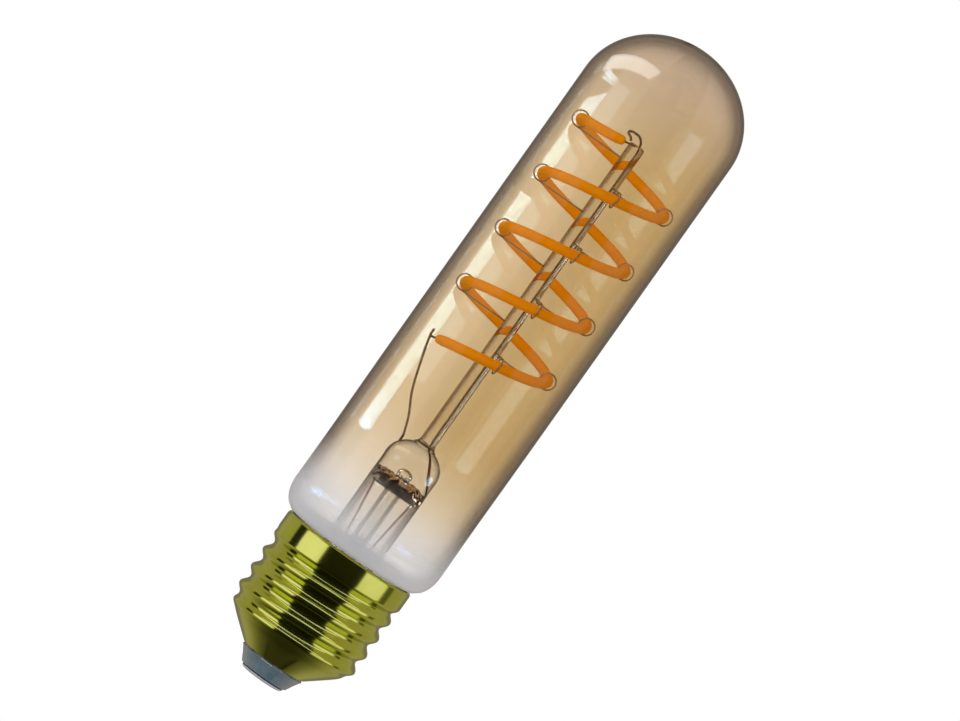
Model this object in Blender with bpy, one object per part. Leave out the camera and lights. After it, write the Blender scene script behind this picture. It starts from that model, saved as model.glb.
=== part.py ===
"""Tubular smart filament lamp on an E27 screw cap, built piece by piece.

The lamp stands on its centre contact: the origin is the middle of the contact's flat face,
+Z runs along the lamp towards the glass dome, and the front of the lamp faces -Y.
Blender script, metres.
"""

import math

import bmesh
import bpy
from mathutils import Vector

MM = 0.001

# ---- Glass envelope
OVERALL_LENGTH = 136.5 * MM
TUBE_DIAMETER = 31.5 * MM
GLASS_WALL = 0.9 * MM
DOME_HEIGHT = 14.3 * MM
SHOULDER_HEIGHT = 5.0 * MM
SHOULDER_INSET = 0.3 * MM
NECK_CLEARANCE = 0.58 * MM
NECK_INSERTION = 5.1 * MM

# ---- Screw cap
CAP_HEIGHT = 27.7 * MM
COLLAR_HEIGHT = 3.3 * MM
THREAD_CREST_DIAMETER = 26.4 * MM
THREAD_DEPTH = 1.07 * MM
THREAD_PITCH = 3.629 * MM
THREAD_START_RISE = 1.88 * MM
THREAD_RUN_IN = 2.5 * MM
CAP_SHEET = 0.35 * MM
CONE_BOTTOM = 3.85 * MM
CONE_BOTTOM_DIAMETER = 12.8 * MM
CONE_FLARE = 1.25

# ---- Contact and insulator
CONTACT_DIAMETER = 8.6 * MM
CONTACT_THICKNESS = 0.5 * MM
RIVET_DIAMETER = 3.2 * MM
RIVET_WALL = 0.5 * MM
INSULATOR_FOOT_DIAMETER = 9.5 * MM
INSULATOR_INNER_HEIGHT = 3.35 * MM
INSULATOR_FLANGE_THICKNESS = 0.55 * MM

# ---- Glass stem
STEM_DIAMETER = 10.8 * MM
STEM_WALL = 0.8 * MM
PRESS_BOTTOM = 42.2 * MM
PRESS_SIDE_HEIGHT = 4.2 * MM
PRESS_DOME_HEIGHT = 4.4 * MM
FLARE_RISE = 5.7 * MM
ROD_DIAMETER = 3.1 * MM
ROD_TOP_DROP = 20.5 * MM
EXHAUST_DIAMETER = 3.2 * MM
EXHAUST_BORE = 1.9 * MM
EXHAUST_TIP_RISE = 2.0 * MM

# ---- Spiral light source
SPIRAL_GAP = 3.75 * MM
SPIRAL_TURNS = 4.108
SPIRAL_START_ANGLE = math.radians(217)
SPIRAL_START_RISE = 17.1 * MM
SPIRAL_END_DROP = 0.8 * MM
SPIRAL_DROOP = 1.6 * MM
FILAMENT_DIAMETER = 1.9 * MM
RIBBON_WIDTH = 0.8 * MM
RIBBON_THICKNESS = 0.16 * MM
TERMINAL_DIAMETER = 0.4 * MM
TERMINAL_LENGTH = 2.2 * MM

# ---- Wires
LEAD_DIAMETER = 0.46 * MM
SUPPORT_DIAMETER = 0.3 * MM
SUPPORT_RING_GAP = 0.42 * MM
SUPPORT_EMBEDDED = 0.8 * MM
FRONT_SUPPORT_ANGLE = math.radians(282.5)
FRONT_SUPPORT_ROOT = math.radians(325)
HOOKUP_DIAMETER = 0.6 * MM

# ---- Driver
SLEEVE_WALL = 0.55 * MM
SLEEVE_LEDGE = 0.7 * MM
SLEEVE_LEDGE_HEIGHT = 1.2 * MM
SLEEVE_BOTTOM_RISE = 0.77 * MM
SLEEVE_TOP_DROP = 1.1 * MM
SLEEVE_GAP = 0.78 * MM
BOARD_THICKNESS = 1.0 * MM
BOARD_HEADROOM = 0.6 * MM
BULK_CAPACITOR_DIAMETER = 6.3 * MM
BULK_CAPACITOR_LENGTH = 9.0 * MM
OUTPUT_CAPACITOR_DIAMETER = 5.0 * MM
OUTPUT_CAPACITOR_HEIGHT = 5.6 * MM
CHOKE_DIAMETER = 5.4 * MM
CHOKE_HEIGHT = 5.6 * MM
RADIO_BOARD_WIDTH = 11.0 * MM
RADIO_BOARD_HEIGHT = 6.5 * MM
RADIO_BOARD_THICKNESS = 0.8 * MM
FEED_WIRE_X = 2.3 * MM
FEED_WIRE_ROOM = 0.7 * MM

# ---- Gaps between pieces that touch
SEAT_GAP = 0.3 * MM
WIRE_GAP = 0.2 * MM

# ---- How finely round pieces are faceted
TUBE_SEGMENTS = 32
SMALL_SEGMENTS = 16
SPIRAL_STEPS_PER_TURN = 16
THREAD_ROWS_PER_PITCH = 8

# ---- Sizes worked out from the ones above
TUBE_RADIUS = TUBE_DIAMETER / 2
COLLAR_RADIUS = THREAD_CREST_DIAMETER / 2
THREAD_ROOT_RADIUS = COLLAR_RADIUS - THREAD_DEPTH
NECK_RADIUS = THREAD_ROOT_RADIUS - CAP_SHEET - NECK_CLEARANCE
NECK_BOTTOM = CAP_HEIGHT - NECK_INSERTION
CONE_TOP = CONE_BOTTOM + (THREAD_ROOT_RADIUS - CONE_BOTTOM_DIAMETER / 2) / CONE_FLARE
THREAD_START = CONE_TOP + THREAD_START_RISE
INSULATOR_TOP = CONE_BOTTOM + INSULATOR_INNER_HEIGHT
EXHAUST_TIP = NECK_BOTTOM + EXHAUST_TIP_RISE
STEM_RADIUS = STEM_DIAMETER / 2
ROD_RADIUS = ROD_DIAMETER / 2
LEAD_RADIUS = LEAD_DIAMETER / 2
SUPPORT_RADIUS = SUPPORT_DIAMETER / 2
FILAMENT_RADIUS = FILAMENT_DIAMETER / 2
PRESS_SHOULDER = PRESS_BOTTOM + PRESS_SIDE_HEIGHT
PRESS_TOP = PRESS_SHOULDER + PRESS_DOME_HEIGHT
ROD_TOP = OVERALL_LENGTH - ROD_TOP_DROP
SPIRAL_RADIUS = TUBE_RADIUS - GLASS_WALL - SPIRAL_GAP
SPIRAL_START = PRESS_TOP + SPIRAL_START_RISE
SPIRAL_PITCH = (ROD_TOP - SPIRAL_END_DROP + SPIRAL_DROOP - SPIRAL_START) / SPIRAL_TURNS
SPIRAL_END_ANGLE = SPIRAL_START_ANGLE + math.tau * SPIRAL_TURNS
SUPPORT_RING_RADIUS = FILAMENT_RADIUS + SUPPORT_RING_GAP + SUPPORT_RADIUS
SLEEVE_RADIUS = THREAD_ROOT_RADIUS - CAP_SHEET - SLEEVE_GAP
BOARD_RADIUS = SLEEVE_RADIUS - SLEEVE_WALL - SEAT_GAP
SLEEVE_BOTTOM = CONE_TOP + SLEEVE_BOTTOM_RISE
SLEEVE_TOP = NECK_BOTTOM - SLEEVE_TOP_DROP
TALLEST_PART = max(RADIO_BOARD_HEIGHT, BULK_CAPACITOR_DIAMETER, OUTPUT_CAPACITOR_HEIGHT, CHOKE_HEIGHT)
PART_FLOOR = NECK_BOTTOM - BOARD_HEADROOM - TALLEST_PART
BOARD_TOP = PART_FLOOR - SEAT_GAP
BOARD_BOTTOM = BOARD_TOP - BOARD_THICKNESS
LEAD_SPREAD = STEM_RADIUS - STEM_WALL - LEAD_RADIUS - SEAT_GAP
ROD_LEAD_Y = -(ROD_RADIUS + LEAD_RADIUS + SEAT_GAP)


# ---- Materials

def material(name, colour, roughness, metallic=0.0, transmission=0.0):
    made = bpy.data.materials.new(name)
    made.use_nodes = True
    shader = made.node_tree.nodes["Principled BSDF"]
    shader.inputs["Base Color"].default_value = (*colour, 1.0)
    shader.inputs["Roughness"].default_value = roughness
    shader.inputs["Metallic"].default_value = metallic
    shader.inputs["Transmission Weight"].default_value = transmission
    made.diffuse_color = (*colour, 1.0)
    return made


def make_materials():
    return {
        "amber_glass": material("amber_glass", (0.80, 0.62, 0.38), 0.03, transmission=0.9),
        "stem_glass": material("stem_glass", (0.90, 0.86, 0.78), 0.03, transmission=0.9),
        "phosphor": material("phosphor", (0.88, 0.42, 0.03), 0.45),
        "ribbon": material("ribbon", (0.62, 0.35, 0.10), 0.5),
        "nickel_wire": material("nickel_wire", (0.22, 0.18, 0.14), 0.35, metallic=1.0),
        "seal_wire": material("seal_wire", (0.55, 0.28, 0.18), 0.4, metallic=1.0),
        "copper_wire": material("copper_wire", (0.70, 0.38, 0.22), 0.35, metallic=1.0),
        "cap_brass": material("cap_brass", (0.56, 0.55, 0.10), 0.12, metallic=1.0),
        "insulator": material("insulator", (0.36, 0.46, 0.52), 0.3),
        "contact_metal": material("contact_metal", (0.72, 0.74, 0.76), 0.3, metallic=1.0),
        "solder": material("solder", (0.66, 0.67, 0.68), 0.35, metallic=1.0),
        "cement": material("cement", (0.86, 0.84, 0.78), 0.8),
        "circuit_board": material("circuit_board", (0.04, 0.22, 0.10), 0.5),
        "black_plastic": material("black_plastic", (0.03, 0.03, 0.035), 0.4),
        "white_plastic": material("white_plastic", (0.85, 0.85, 0.83), 0.5),
        "capacitor_sleeve": material("capacitor_sleeve", (0.05, 0.07, 0.16), 0.35),
        "ferrite": material("ferrite", (0.12, 0.12, 0.13), 0.6),
        "wound_copper": material("wound_copper", (0.72, 0.36, 0.14), 0.3, metallic=1.0),
        "shield_steel": material("shield_steel", (0.68, 0.69, 0.70), 0.3, metallic=1.0),
        "red_insulation": material("red_insulation", (0.55, 0.05, 0.04), 0.5),
        "blue_varistor": material("blue_varistor", (0.06, 0.16, 0.42), 0.45),
        "resistor_body": material("resistor_body", (0.42, 0.60, 0.55), 0.5),
    }


# ---- Building tools

def object_from(bm, name, surface, smooth_angle=40):
    mesh = bpy.data.meshes.new(name)
    bm.to_mesh(mesh)
    bm.free()
    mesh.materials.append(surface)
    mesh.shade_smooth()
    mesh.set_sharp_from_angle(angle=math.radians(smooth_angle))
    made = bpy.data.objects.new(name, mesh)
    bpy.context.scene.collection.objects.link(made)
    return made


def turned(name, outline, surface, segments=TUBE_SEGMENTS):
    """Turns an outline of (radius, height) points about +Z. It is a loop, or runs from axis to axis."""
    bm = bmesh.new()
    corners = [bm.verts.new((radius, 0, height)) for radius, height in outline]
    following = corners[1:] + corners[:1]
    if outline[0][0] == 0 and outline[-1][0] == 0:
        following = following[:-1]
    edges = [bm.edges.new(pair) for pair in zip(corners, following)]
    bmesh.ops.spin(
        bm,
        geom=corners + edges,
        cent=(0, 0, 0),
        axis=(0, 0, 1),
        angle=math.tau,
        steps=segments,
        use_merge=True,
    )
    bmesh.ops.remove_doubles(bm, verts=bm.verts, dist=1e-7)
    bmesh.ops.recalc_face_normals(bm, faces=bm.faces)
    return object_from(bm, name, surface)


def block(name, size, centre, surface, bevel=0.15 * MM):
    bm = bmesh.new()
    bmesh.ops.create_cube(bm, size=1)
    bmesh.ops.scale(bm, vec=size, verts=bm.verts)
    bmesh.ops.bevel(bm, geom=bm.edges, offset=bevel, segments=1, affect="EDGES")
    made = object_from(bm, name, surface)
    made.location = centre
    return made


def arc(centre, radii, start, end, steps):
    """Points of an elliptical arc in a (radius, height) outline, angles in degrees."""
    angles = [math.radians(start + (end - start) * i / steps) for i in range(steps + 1)]
    return [
        (centre[0] + radii[0] * math.cos(a), centre[1] + radii[1] * math.sin(a))
        for a in angles
    ]


def smooth_route(points, steps_per_span=4):
    """A smooth curve through the points, as a list of Vectors."""
    knots = [Vector(p) for p in points]
    spans = [(after - before).length for before, after in zip(knots, knots[1:])]
    slopes = [(knots[1] - knots[0]) / spans[0]]
    for i in range(1, len(spans)):
        slopes.append((knots[i + 1] - knots[i - 1]) / (spans[i - 1] + spans[i]))
    slopes.append((knots[-1] - knots[-2]) / spans[-1])
    route = []
    for i, span in enumerate(spans):
        for step in range(steps_per_span):
            t = step / steps_per_span
            ease = t * t * (3 - 2 * t)
            leave = t * (1 - t) ** 2 * span
            arrive = t * t * (1 - t) * span
            route.append(
                knots[i].lerp(knots[i + 1], ease) + slopes[i] * leave - slopes[i + 1] * arrive
            )
    route.append(knots[-1])
    return route


def wire(name, route, radius, surface, roundness=1):
    """A round wire along the route, as a mesh with closed ends."""
    curve = bpy.data.curves.new(name, "CURVE")
    curve.dimensions = "3D"
    curve.bevel_depth = radius
    curve.bevel_resolution = roundness
    curve.use_fill_caps = True
    spline = curve.splines.new("POLY")
    spline.points.add(len(route) - 1)
    for point, place in zip(spline.points, route):
        point.co = (*place, 1)
    guide = bpy.data.objects.new(name + "_guide", curve)
    bpy.context.scene.collection.objects.link(guide)
    graph = bpy.context.evaluated_depsgraph_get()
    bm = bmesh.new()
    bm.from_mesh(bpy.data.meshes.new_from_object(guide.evaluated_get(graph)))
    bpy.data.objects.remove(guide)
    bmesh.ops.remove_doubles(bm, verts=bm.verts, dist=1e-7)
    bmesh.ops.recalc_face_normals(bm, faces=bm.faces)
    return object_from(bm, name, surface)


def cut(piece, cutter):
    """Cuts one piece with a hidden cutter."""
    cutter.hide_render = True
    cutter.display_type = "WIRE"
    boolean = piece.modifiers.new("cut_" + cutter.name, "BOOLEAN")
    boolean.operation = "DIFFERENCE"
    boolean.object = cutter


def smoothstep(low, high, value):
    t = min(1.0, max(0.0, (value - low) / (high - low)))
    return t * t * (3 - 2 * t)


# ---- Glass envelope

def envelope_outline():
    """Outer wall from the neck's lower edge to the top of the dome."""
    lip_radius = COLLAR_RADIUS - NECK_RADIUS
    lip_top = CAP_HEIGHT + SEAT_GAP
    shoulder_radius = COLLAR_RADIUS - SHOULDER_INSET
    shoulder_z = lip_top + SHOULDER_HEIGHT + 0.2 * MM
    bulge = TUBE_RADIUS - shoulder_radius
    dome_z = OVERALL_LENGTH - DOME_HEIGHT
    outer = [(NECK_RADIUS, NECK_BOTTOM)]
    outer += arc((COLLAR_RADIUS, lip_top - lip_radius), (lip_radius, lip_radius), 180, 90, 5)
    outer += arc((shoulder_radius, shoulder_z), (bulge, SHOULDER_HEIGHT), -70, 0, 5)
    outer += arc((0, dome_z), (TUBE_RADIUS, DOME_HEIGHT), 0, 90, 8)
    outer[-1] = (0, OVERALL_LENGTH)
    return outer


def offset_inwards(outer, wall):
    """The outline moved by one wall thickness towards the hollow side."""
    inner = []
    for i, (radius, height) in enumerate(outer):
        before = outer[max(0, i - 1)]
        after = outer[min(len(outer) - 1, i + 1)]
        along = Vector((after[0] - before[0], after[1] - before[1])).normalized()
        inner.append((max(0, radius - along.y * wall), height + along.x * wall))
    inner[-1] = (0, outer[-1][1] - wall)
    inner[0] = (outer[0][0] - wall, outer[0][1])
    return inner


def make_envelope(surfaces):
    outer = envelope_outline()
    inner = offset_inwards(outer, GLASS_WALL)
    turned("glass_envelope", inner[::-1] + outer, surfaces["amber_glass"])


# ---- Screw cap

def shell_radius(height, angle):
    """Outside of the screw shell: cone, rolled right-hand thread and plain collar."""
    cone = CONE_BOTTOM_DIAMETER / 2 + CONE_FLARE * (height - CONE_BOTTOM)
    root = THREAD_ROOT_RADIUS
    blend = 0.9 * MM
    base = 0.5 * (cone + root - math.hypot(cone - root, blend))
    turn = math.tau * (height - THREAD_START) / THREAD_PITCH - angle
    wave = (COLLAR_RADIUS - root) * (0.5 + 0.5 * math.cos(turn))
    run_in = smoothstep(THREAD_START - THREAD_RUN_IN, THREAD_START, height)
    collar_start = CAP_HEIGHT - COLLAR_HEIGHT
    run_out = smoothstep(collar_start - 2 * MM, collar_start, height)
    return base + wave * run_in * (1 - run_out) + (COLLAR_RADIUS - base) * run_out


def shell_heights():
    thread_low = THREAD_START - THREAD_RUN_IN
    thread_high = CAP_HEIGHT - COLLAR_HEIGHT
    thread_rows = round((thread_high - thread_low) / THREAD_PITCH * THREAD_ROWS_PER_PITCH)
    cone = [CONE_BOTTOM + (thread_low - CONE_BOTTOM) * i / 2 for i in range(2)]
    thread = [
        thread_low + (thread_high - thread_low) * i / thread_rows
        for i in range(thread_rows + 1)
    ]
    return cone + thread + [CAP_HEIGHT]


def make_shell(surfaces):
    bm = bmesh.new()
    rows = []
    for height in shell_heights():
        row = []
        for i in range(TUBE_SEGMENTS):
            angle = math.tau * i / TUBE_SEGMENTS
            radius = shell_radius(height, angle)
            place = (radius * math.cos(angle), radius * math.sin(angle), height)
            row.append(bm.verts.new(place))
        rows.append(row)
    for lower, upper in zip(rows, rows[1:]):
        for i in range(TUBE_SEGMENTS):
            j = (i + 1) % TUBE_SEGMENTS
            bm.faces.new((lower[i], lower[j], upper[j], upper[i]))
    shell = object_from(bm, "cap_shell", surfaces["cap_brass"])
    sheet = shell.modifiers.new("sheet_thickness", "SOLIDIFY")
    sheet.thickness = CAP_SHEET
    sheet.offset = -1


def make_insulator(surfaces):
    """Glass-like plug: a cone below the shell, a collar through its hole and a flange above it."""
    bore = RIVET_DIAMETER / 2 + SEAT_GAP
    bottom = CONTACT_THICKNESS + WIRE_GAP
    foot = INSULATOR_FOOT_DIAMETER / 2
    brim = CONE_BOTTOM_DIAMETER / 2 - 0.05 * MM
    brim_z = CONE_BOTTOM - SEAT_GAP
    collar = CONE_BOTTOM_DIAMETER / 2 - CAP_SHEET - SEAT_GAP
    flange_rise = INSULATOR_INNER_HEIGHT - INSULATOR_FLANGE_THICKNESS
    flange = CONE_BOTTOM_DIAMETER / 2 + CONE_FLARE * flange_rise - 2.2 * (CAP_SHEET + SEAT_GAP)
    outline = [(bore, bottom), (foot, bottom)]
    outline += [(foot + 0.15 * (brim - foot), bottom + 0.2 * (brim_z - bottom))]
    outline += [(foot + 0.42 * (brim - foot), bottom + 0.5 * (brim_z - bottom))]
    outline += [(brim, brim_z), (collar, brim_z), (collar, CONE_BOTTOM + 0.6 * MM)]
    outline += [(flange, CONE_BOTTOM + flange_rise), (flange, INSULATOR_TOP)]
    outline += [(bore, INSULATOR_TOP)]
    turned("cap_insulator", outline, surfaces["insulator"], 24)


def make_contact(surfaces):
    """Contact plate with its hollow rivet, and the drop of solder that fills the eyelet."""
    eyelet = 0.85 * MM
    rim = CONTACT_DIAMETER / 2
    rivet = RIVET_DIAMETER / 2
    bore = rivet - RIVET_WALL
    rivet_top = INSULATOR_TOP + 0.7 * MM
    outline = [(eyelet, 0), (rim - 0.6 * MM, 0), (rim - 0.15 * MM, 0.18 * MM)]
    outline += [(rim, CONTACT_THICKNESS), (rivet, CONTACT_THICKNESS), (rivet, rivet_top)]
    outline += [(bore, rivet_top), (bore, CONTACT_THICKNESS), (eyelet, 0.3 * MM)]
    turned("centre_contact", outline, surfaces["contact_metal"], 24)
    plug = eyelet - WIRE_GAP
    solder = [(0, 0.08 * MM), (plug, 0.08 * MM), (plug, 1.1 * MM), (0, 1.4 * MM)]
    turned("contact_solder", solder, surfaces["solder"], 12)


def make_cement(surfaces):
    inside = NECK_RADIUS + SEAT_GAP
    outside = COLLAR_RADIUS - CAP_SHEET - SEAT_GAP
    bottom = CAP_HEIGHT - COLLAR_HEIGHT + 0.2 * MM
    outline = [(inside, bottom), (outside, bottom), (outside, CAP_HEIGHT - 0.6 * MM)]
    outline += [(inside, CAP_HEIGHT - 1.6 * MM)]
    turned("cap_cement", outline, surfaces["cement"], 24)


# ---- Glass stem

def make_flare(surfaces):
    """Tube with a lower end that flares out to the neck, where the envelope is fused on."""
    top = PRESS_BOTTOM - SEAT_GAP
    rim = NECK_RADIUS - GLASS_WALL - SEAT_GAP
    low = NECK_BOTTOM + SEAT_GAP
    start = low + FLARE_RISE
    bore = STEM_RADIUS - STEM_WALL
    reach = rim - STEM_RADIUS
    outer = arc((rim, start), (reach, FLARE_RISE - STEM_WALL), 180, 270, 5)
    inner = arc((rim - STEM_WALL, start), (reach, FLARE_RISE), 270, 180, 5)
    outline = [(STEM_RADIUS, top)] + outer + [(rim, low)] + inner + [(bore, top)]
    turned("stem_flare", outline, surfaces["stem_glass"], 24)


def make_press(surfaces, lead_routes):
    """Solid glass head of the stem, with the leads sealed in and the exhaust hole in its back."""
    side = [(0, PRESS_BOTTOM), (STEM_RADIUS, PRESS_BOTTOM)]
    dome = arc((0, PRESS_SHOULDER), (STEM_RADIUS, PRESS_DOME_HEIGHT), 0, 90, 6)
    dome[-1] = (0, PRESS_TOP)
    press = turned("stem_press", side + dome, surfaces["stem_glass"], 26)
    for name, route in lead_routes.items():
        channel = wire("channel_" + name, route, LEAD_RADIUS + WIRE_GAP, surfaces["stem_glass"])
        cut(press, channel)
    bore = EXHAUST_BORE / 2
    bore_top = PRESS_BOTTOM + 2.2 * MM
    well = [(0, PRESS_BOTTOM - 1 * MM), (bore, PRESS_BOTTOM - 1 * MM)]
    well += arc((0, bore_top), (bore, bore), 0, 90, 3)[:-1] + [(0, bore_top + bore)]
    cut(press, turned("exhaust_well", well, surfaces["stem_glass"], 12))
    mouth = [(0, 0, bore_top), (0, STEM_RADIUS + 1 * MM, bore_top)]
    cut(press, wire("exhaust_mouth", mouth, bore * 0.7, surfaces["stem_glass"], 2))


def make_exhaust_tube(surfaces):
    outside = EXHAUST_DIAMETER / 2
    bore = EXHAUST_BORE / 2
    top = PRESS_BOTTOM - SEAT_GAP
    tip = EXHAUST_TIP
    outline = [(0, tip), (outside * 0.45, tip + 0.5 * MM), (outside, tip + 2.4 * MM)]
    outline += [(outside, top), (bore, top), (bore, tip + 3 * MM), (0, tip + 2.2 * MM)]
    turned("exhaust_tube", outline, surfaces["stem_glass"], SMALL_SEGMENTS)


def make_rod(surfaces, supports):
    round_end = 0.5 * MM
    bottom = PRESS_TOP + SEAT_GAP
    outline = [(0, bottom), (ROD_RADIUS, bottom), (ROD_RADIUS, ROD_TOP - round_end)]
    outline += [(ROD_RADIUS - round_end, ROD_TOP), (0, ROD_TOP)]
    rod = turned("stem_rod", outline, surfaces["stem_glass"], SMALL_SEGMENTS)
    for name, (root, tangent, _) in supports.items():
        outward = (tangent - root).normalized()
        socket = [root - outward * WIRE_GAP, root + outward * (SUPPORT_EMBEDDED + 1 * MM)]
        cutter = wire("socket_" + name, socket, SUPPORT_RADIUS + WIRE_GAP, surfaces["stem_glass"])
        cut(rod, cutter)


# ---- Spiral light source

def spiral_point(angle):
    """Centre line of the spiral: right-handed, its last stretch settling towards its weld."""
    rise = SPIRAL_PITCH * (angle - SPIRAL_START_ANGLE) / math.tau
    last_left = SPIRAL_END_ANGLE - math.radians(95)
    droop = SPIRAL_DROOP * smoothstep(last_left, SPIRAL_END_ANGLE, angle)
    return Vector(
        (
            SPIRAL_RADIUS * math.cos(angle),
            SPIRAL_RADIUS * math.sin(angle),
            SPIRAL_START + rise - droop,
        )
    )


def spiral_angles():
    steps = round(SPIRAL_STEPS_PER_TURN * SPIRAL_TURNS)
    turned_by = SPIRAL_END_ANGLE - SPIRAL_START_ANGLE
    return [SPIRAL_START_ANGLE + turned_by * i / steps for i in range(steps + 1)]


def spiral_direction(angle):
    small = 1e-3
    return (spiral_point(angle + small) - spiral_point(angle - small)).normalized()


def swept_along_spiral(name, sections, surface):
    """Sweeps one or two loops of (outward, upward) points along the spiral. The second is the bore."""
    bm = bmesh.new()
    rings = []
    for angle in spiral_angles():
        middle = spiral_point(angle)
        outward = Vector((math.cos(angle), math.sin(angle), 0))
        upward = spiral_direction(angle).cross(outward) * -1
        rings.append(
            [
                [bm.verts.new(middle + outward * u + upward * v) for u, v in section]
                for section in sections
            ]
        )
    for here, there in zip(rings, rings[1:]):
        for loop, following in zip(here, there):
            for i in range(len(loop)):
                j = (i + 1) % len(loop)
                bm.faces.new((loop[i], loop[j], following[j], following[i]))
    for end in (rings[0], rings[-1]):
        if len(end) == 1:
            bm.faces.new(end[0])
            continue
        outside, bore = end
        for i in range(len(outside)):
            j = (i + 1) % len(outside)
            bm.faces.new((outside[i], outside[j], bore[j], bore[i]))
    bmesh.ops.recalc_face_normals(bm, faces=bm.faces)
    return object_from(bm, name, surface)


def oval(half_thickness, half_width):
    """Ten (outward, upward) points of an oval across the spiral."""
    around = [math.tau * (i + 0.5) / 10 for i in range(10)]
    return [(half_thickness * math.cos(a), half_width * math.sin(a)) for a in around]


def make_filament(surfaces):
    """Glowing coat round a ribbon of tiny diodes, which lies in an open channel down its middle."""
    half_thickness = RIBBON_THICKNESS / 2
    half_width = RIBBON_WIDTH / 2
    coat = oval(FILAMENT_RADIUS, FILAMENT_RADIUS)
    channel = oval(half_thickness + WIRE_GAP, half_width + WIRE_GAP)
    swept_along_spiral("filament_coating", [coat, channel], surfaces["phosphor"])
    ribbon = oval(half_thickness, half_width)
    swept_along_spiral("filament_ribbon", [ribbon], surfaces["ribbon"])


def terminal_ends(angle, outwards):
    """Inner and outer end of the pin that continues the spiral past one of its ends."""
    direction = spiral_direction(angle) * outwards
    start = spiral_point(angle) + direction * SEAT_GAP
    return start, start + direction * TERMINAL_LENGTH


def make_terminals(surfaces):
    ends = {
        "filament_terminal_lower": terminal_ends(SPIRAL_START_ANGLE, -1),
        "filament_terminal_upper": terminal_ends(SPIRAL_END_ANGLE, 1),
    }
    for name, (start, end) in ends.items():
        wire(name, [start, end], TERMINAL_DIAMETER / 2, surfaces["nickel_wire"], 2)


# ---- Support wires

def support_places():
    """Name to (root in the rod, point where the ring starts, spiral's centre) of every support."""
    kinds = {
        "right": (0.0, 0.0, -1),
        "left": (math.pi, math.pi, -1),
        "front": (FRONT_SUPPORT_ANGLE, FRONT_SUPPORT_ROOT, 1),
    }
    places = {}
    for kind, (angle, root_angle, level) in kinds.items():
        angle += math.tau * math.ceil((SPIRAL_START_ANGLE - angle) / math.tau)
        count = 1
        while angle < SPIRAL_END_ANGLE:
            centre = spiral_point(angle)
            tangent = centre + Vector((0, 0, level * SUPPORT_RING_RADIUS))
            reach = ROD_RADIUS - SUPPORT_EMBEDDED + WIRE_GAP
            root = Vector((reach * math.cos(root_angle), reach * math.sin(root_angle), tangent.z))
            places[f"support_wire_{kind}_{count}"] = (root, tangent, centre)
            angle += math.tau
            count += 1
    return places


def make_supports(surfaces, places):
    """A straight wire out of the rod that ends in a ring round the spiral."""
    steps = 12
    for name, (root, tangent, centre) in places.items():
        outward = (tangent - root).normalized()
        rise = tangent - centre
        aside = outward.cross(rise).normalized() * 3 * SUPPORT_RADIUS
        route = [root, root.lerp(tangent, 0.6)]
        for i in range(steps + 1):
            turn = math.tau * i / steps
            ring = outward * SUPPORT_RING_RADIUS * math.sin(turn) + rise * math.cos(turn)
            route.append(centre + ring + aside * i / steps)
        wire(name, route, SUPPORT_RADIUS, surfaces["nickel_wire"])


# ---- Lead wires

def lower_lead_points():
    """Route of the lead that feeds the spiral's lower end, from the board to the weld."""
    pin_start, pin_end = terminal_ends(SPIRAL_START_ANGLE, -1)
    pin = pin_start.lerp(pin_end, 0.75)
    beside = Vector((pin.x, pin.y, 0)).normalized() * (LEAD_DIAMETER + 0.1 * MM)
    weld = pin + beside
    dome_exit = Vector((-STEM_RADIUS * 0.81, -0.13 * STEM_RADIUS, PRESS_TOP - 0.6 * MM))
    climb = weld - dome_exit
    return [
        dome_exit,
        dome_exit + Vector((climb.x * 0.19, climb.y * 0.2, climb.z * 0.19)),
        dome_exit + Vector((climb.x * 0.53, climb.y * 0.53, climb.z * 0.43)),
        dome_exit + Vector((climb.x * 0.86, climb.y * 0.86, climb.z * 0.8)),
        weld,
        weld + Vector((-0.1 * MM, 0, 1.2 * MM)),
    ]


def upper_lead_points():
    """Route of the lead that climbs the rod and loops forward to the spiral's upper end."""
    pin_start, pin_end = terminal_ends(SPIRAL_END_ANGLE, 1)
    weld = pin_start.lerp(pin_end, 0.4) + Vector((0, 0, TERMINAL_DIAMETER / 2 + LEAD_DIAMETER))
    rod_x = 0.6 * MM
    loop = [
        (rod_x, ROD_LEAD_Y, ROD_TOP - 1.6 * MM),
        (rod_x - 0.1 * MM, ROD_LEAD_Y - 0.2 * MM, ROD_TOP - 0.3 * MM),
        (rod_x - 0.6 * MM, ROD_LEAD_Y - 1.0 * MM, ROD_TOP + 0.9 * MM),
        (rod_x - 1.5 * MM, ROD_LEAD_Y - 3.0 * MM, ROD_TOP + 1.5 * MM),
        (weld.x - 0.9 * MM, (ROD_LEAD_Y + weld.y) / 2 - 1.6 * MM, ROD_TOP + 1.4 * MM),
        (weld.x - 1.1 * MM, weld.y + 1.4 * MM, ROD_TOP + 0.9 * MM),
        (weld.x - 0.4 * MM, weld.y + 0.3 * MM, weld.z + 0.5 * MM),
    ]
    return [
        Vector((rod_x + 0.15 * MM, ROD_LEAD_Y, PRESS_TOP + 0.2 * MM)),
        Vector((rod_x, ROD_LEAD_Y, PRESS_TOP + 2.4 * MM)),
        Vector((rod_x, ROD_LEAD_Y, (PRESS_TOP + ROD_TOP) / 2)),
        *[Vector(place) for place in loop],
        weld,
    ]


def feed_points(side):
    """Route of a feed wire from the driver board up to the underside of the press."""
    return [
        Vector((side * FEED_WIRE_X, 1.0 * MM, PART_FLOOR)),
        Vector((side * (FEED_WIRE_X + 0.1 * MM), 0.5 * MM, NECK_BOTTOM)),
        Vector((side * (EXHAUST_DIAMETER / 2 + 0.95 * MM), 0, NECK_BOTTOM + 6 * MM)),
        Vector((side * (LEAD_SPREAD - 0.7 * MM), 0, PRESS_BOTTOM - 6 * MM)),
        Vector((side * LEAD_SPREAD, 0, PRESS_BOTTOM - 1.2 * MM)),
    ]


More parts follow.
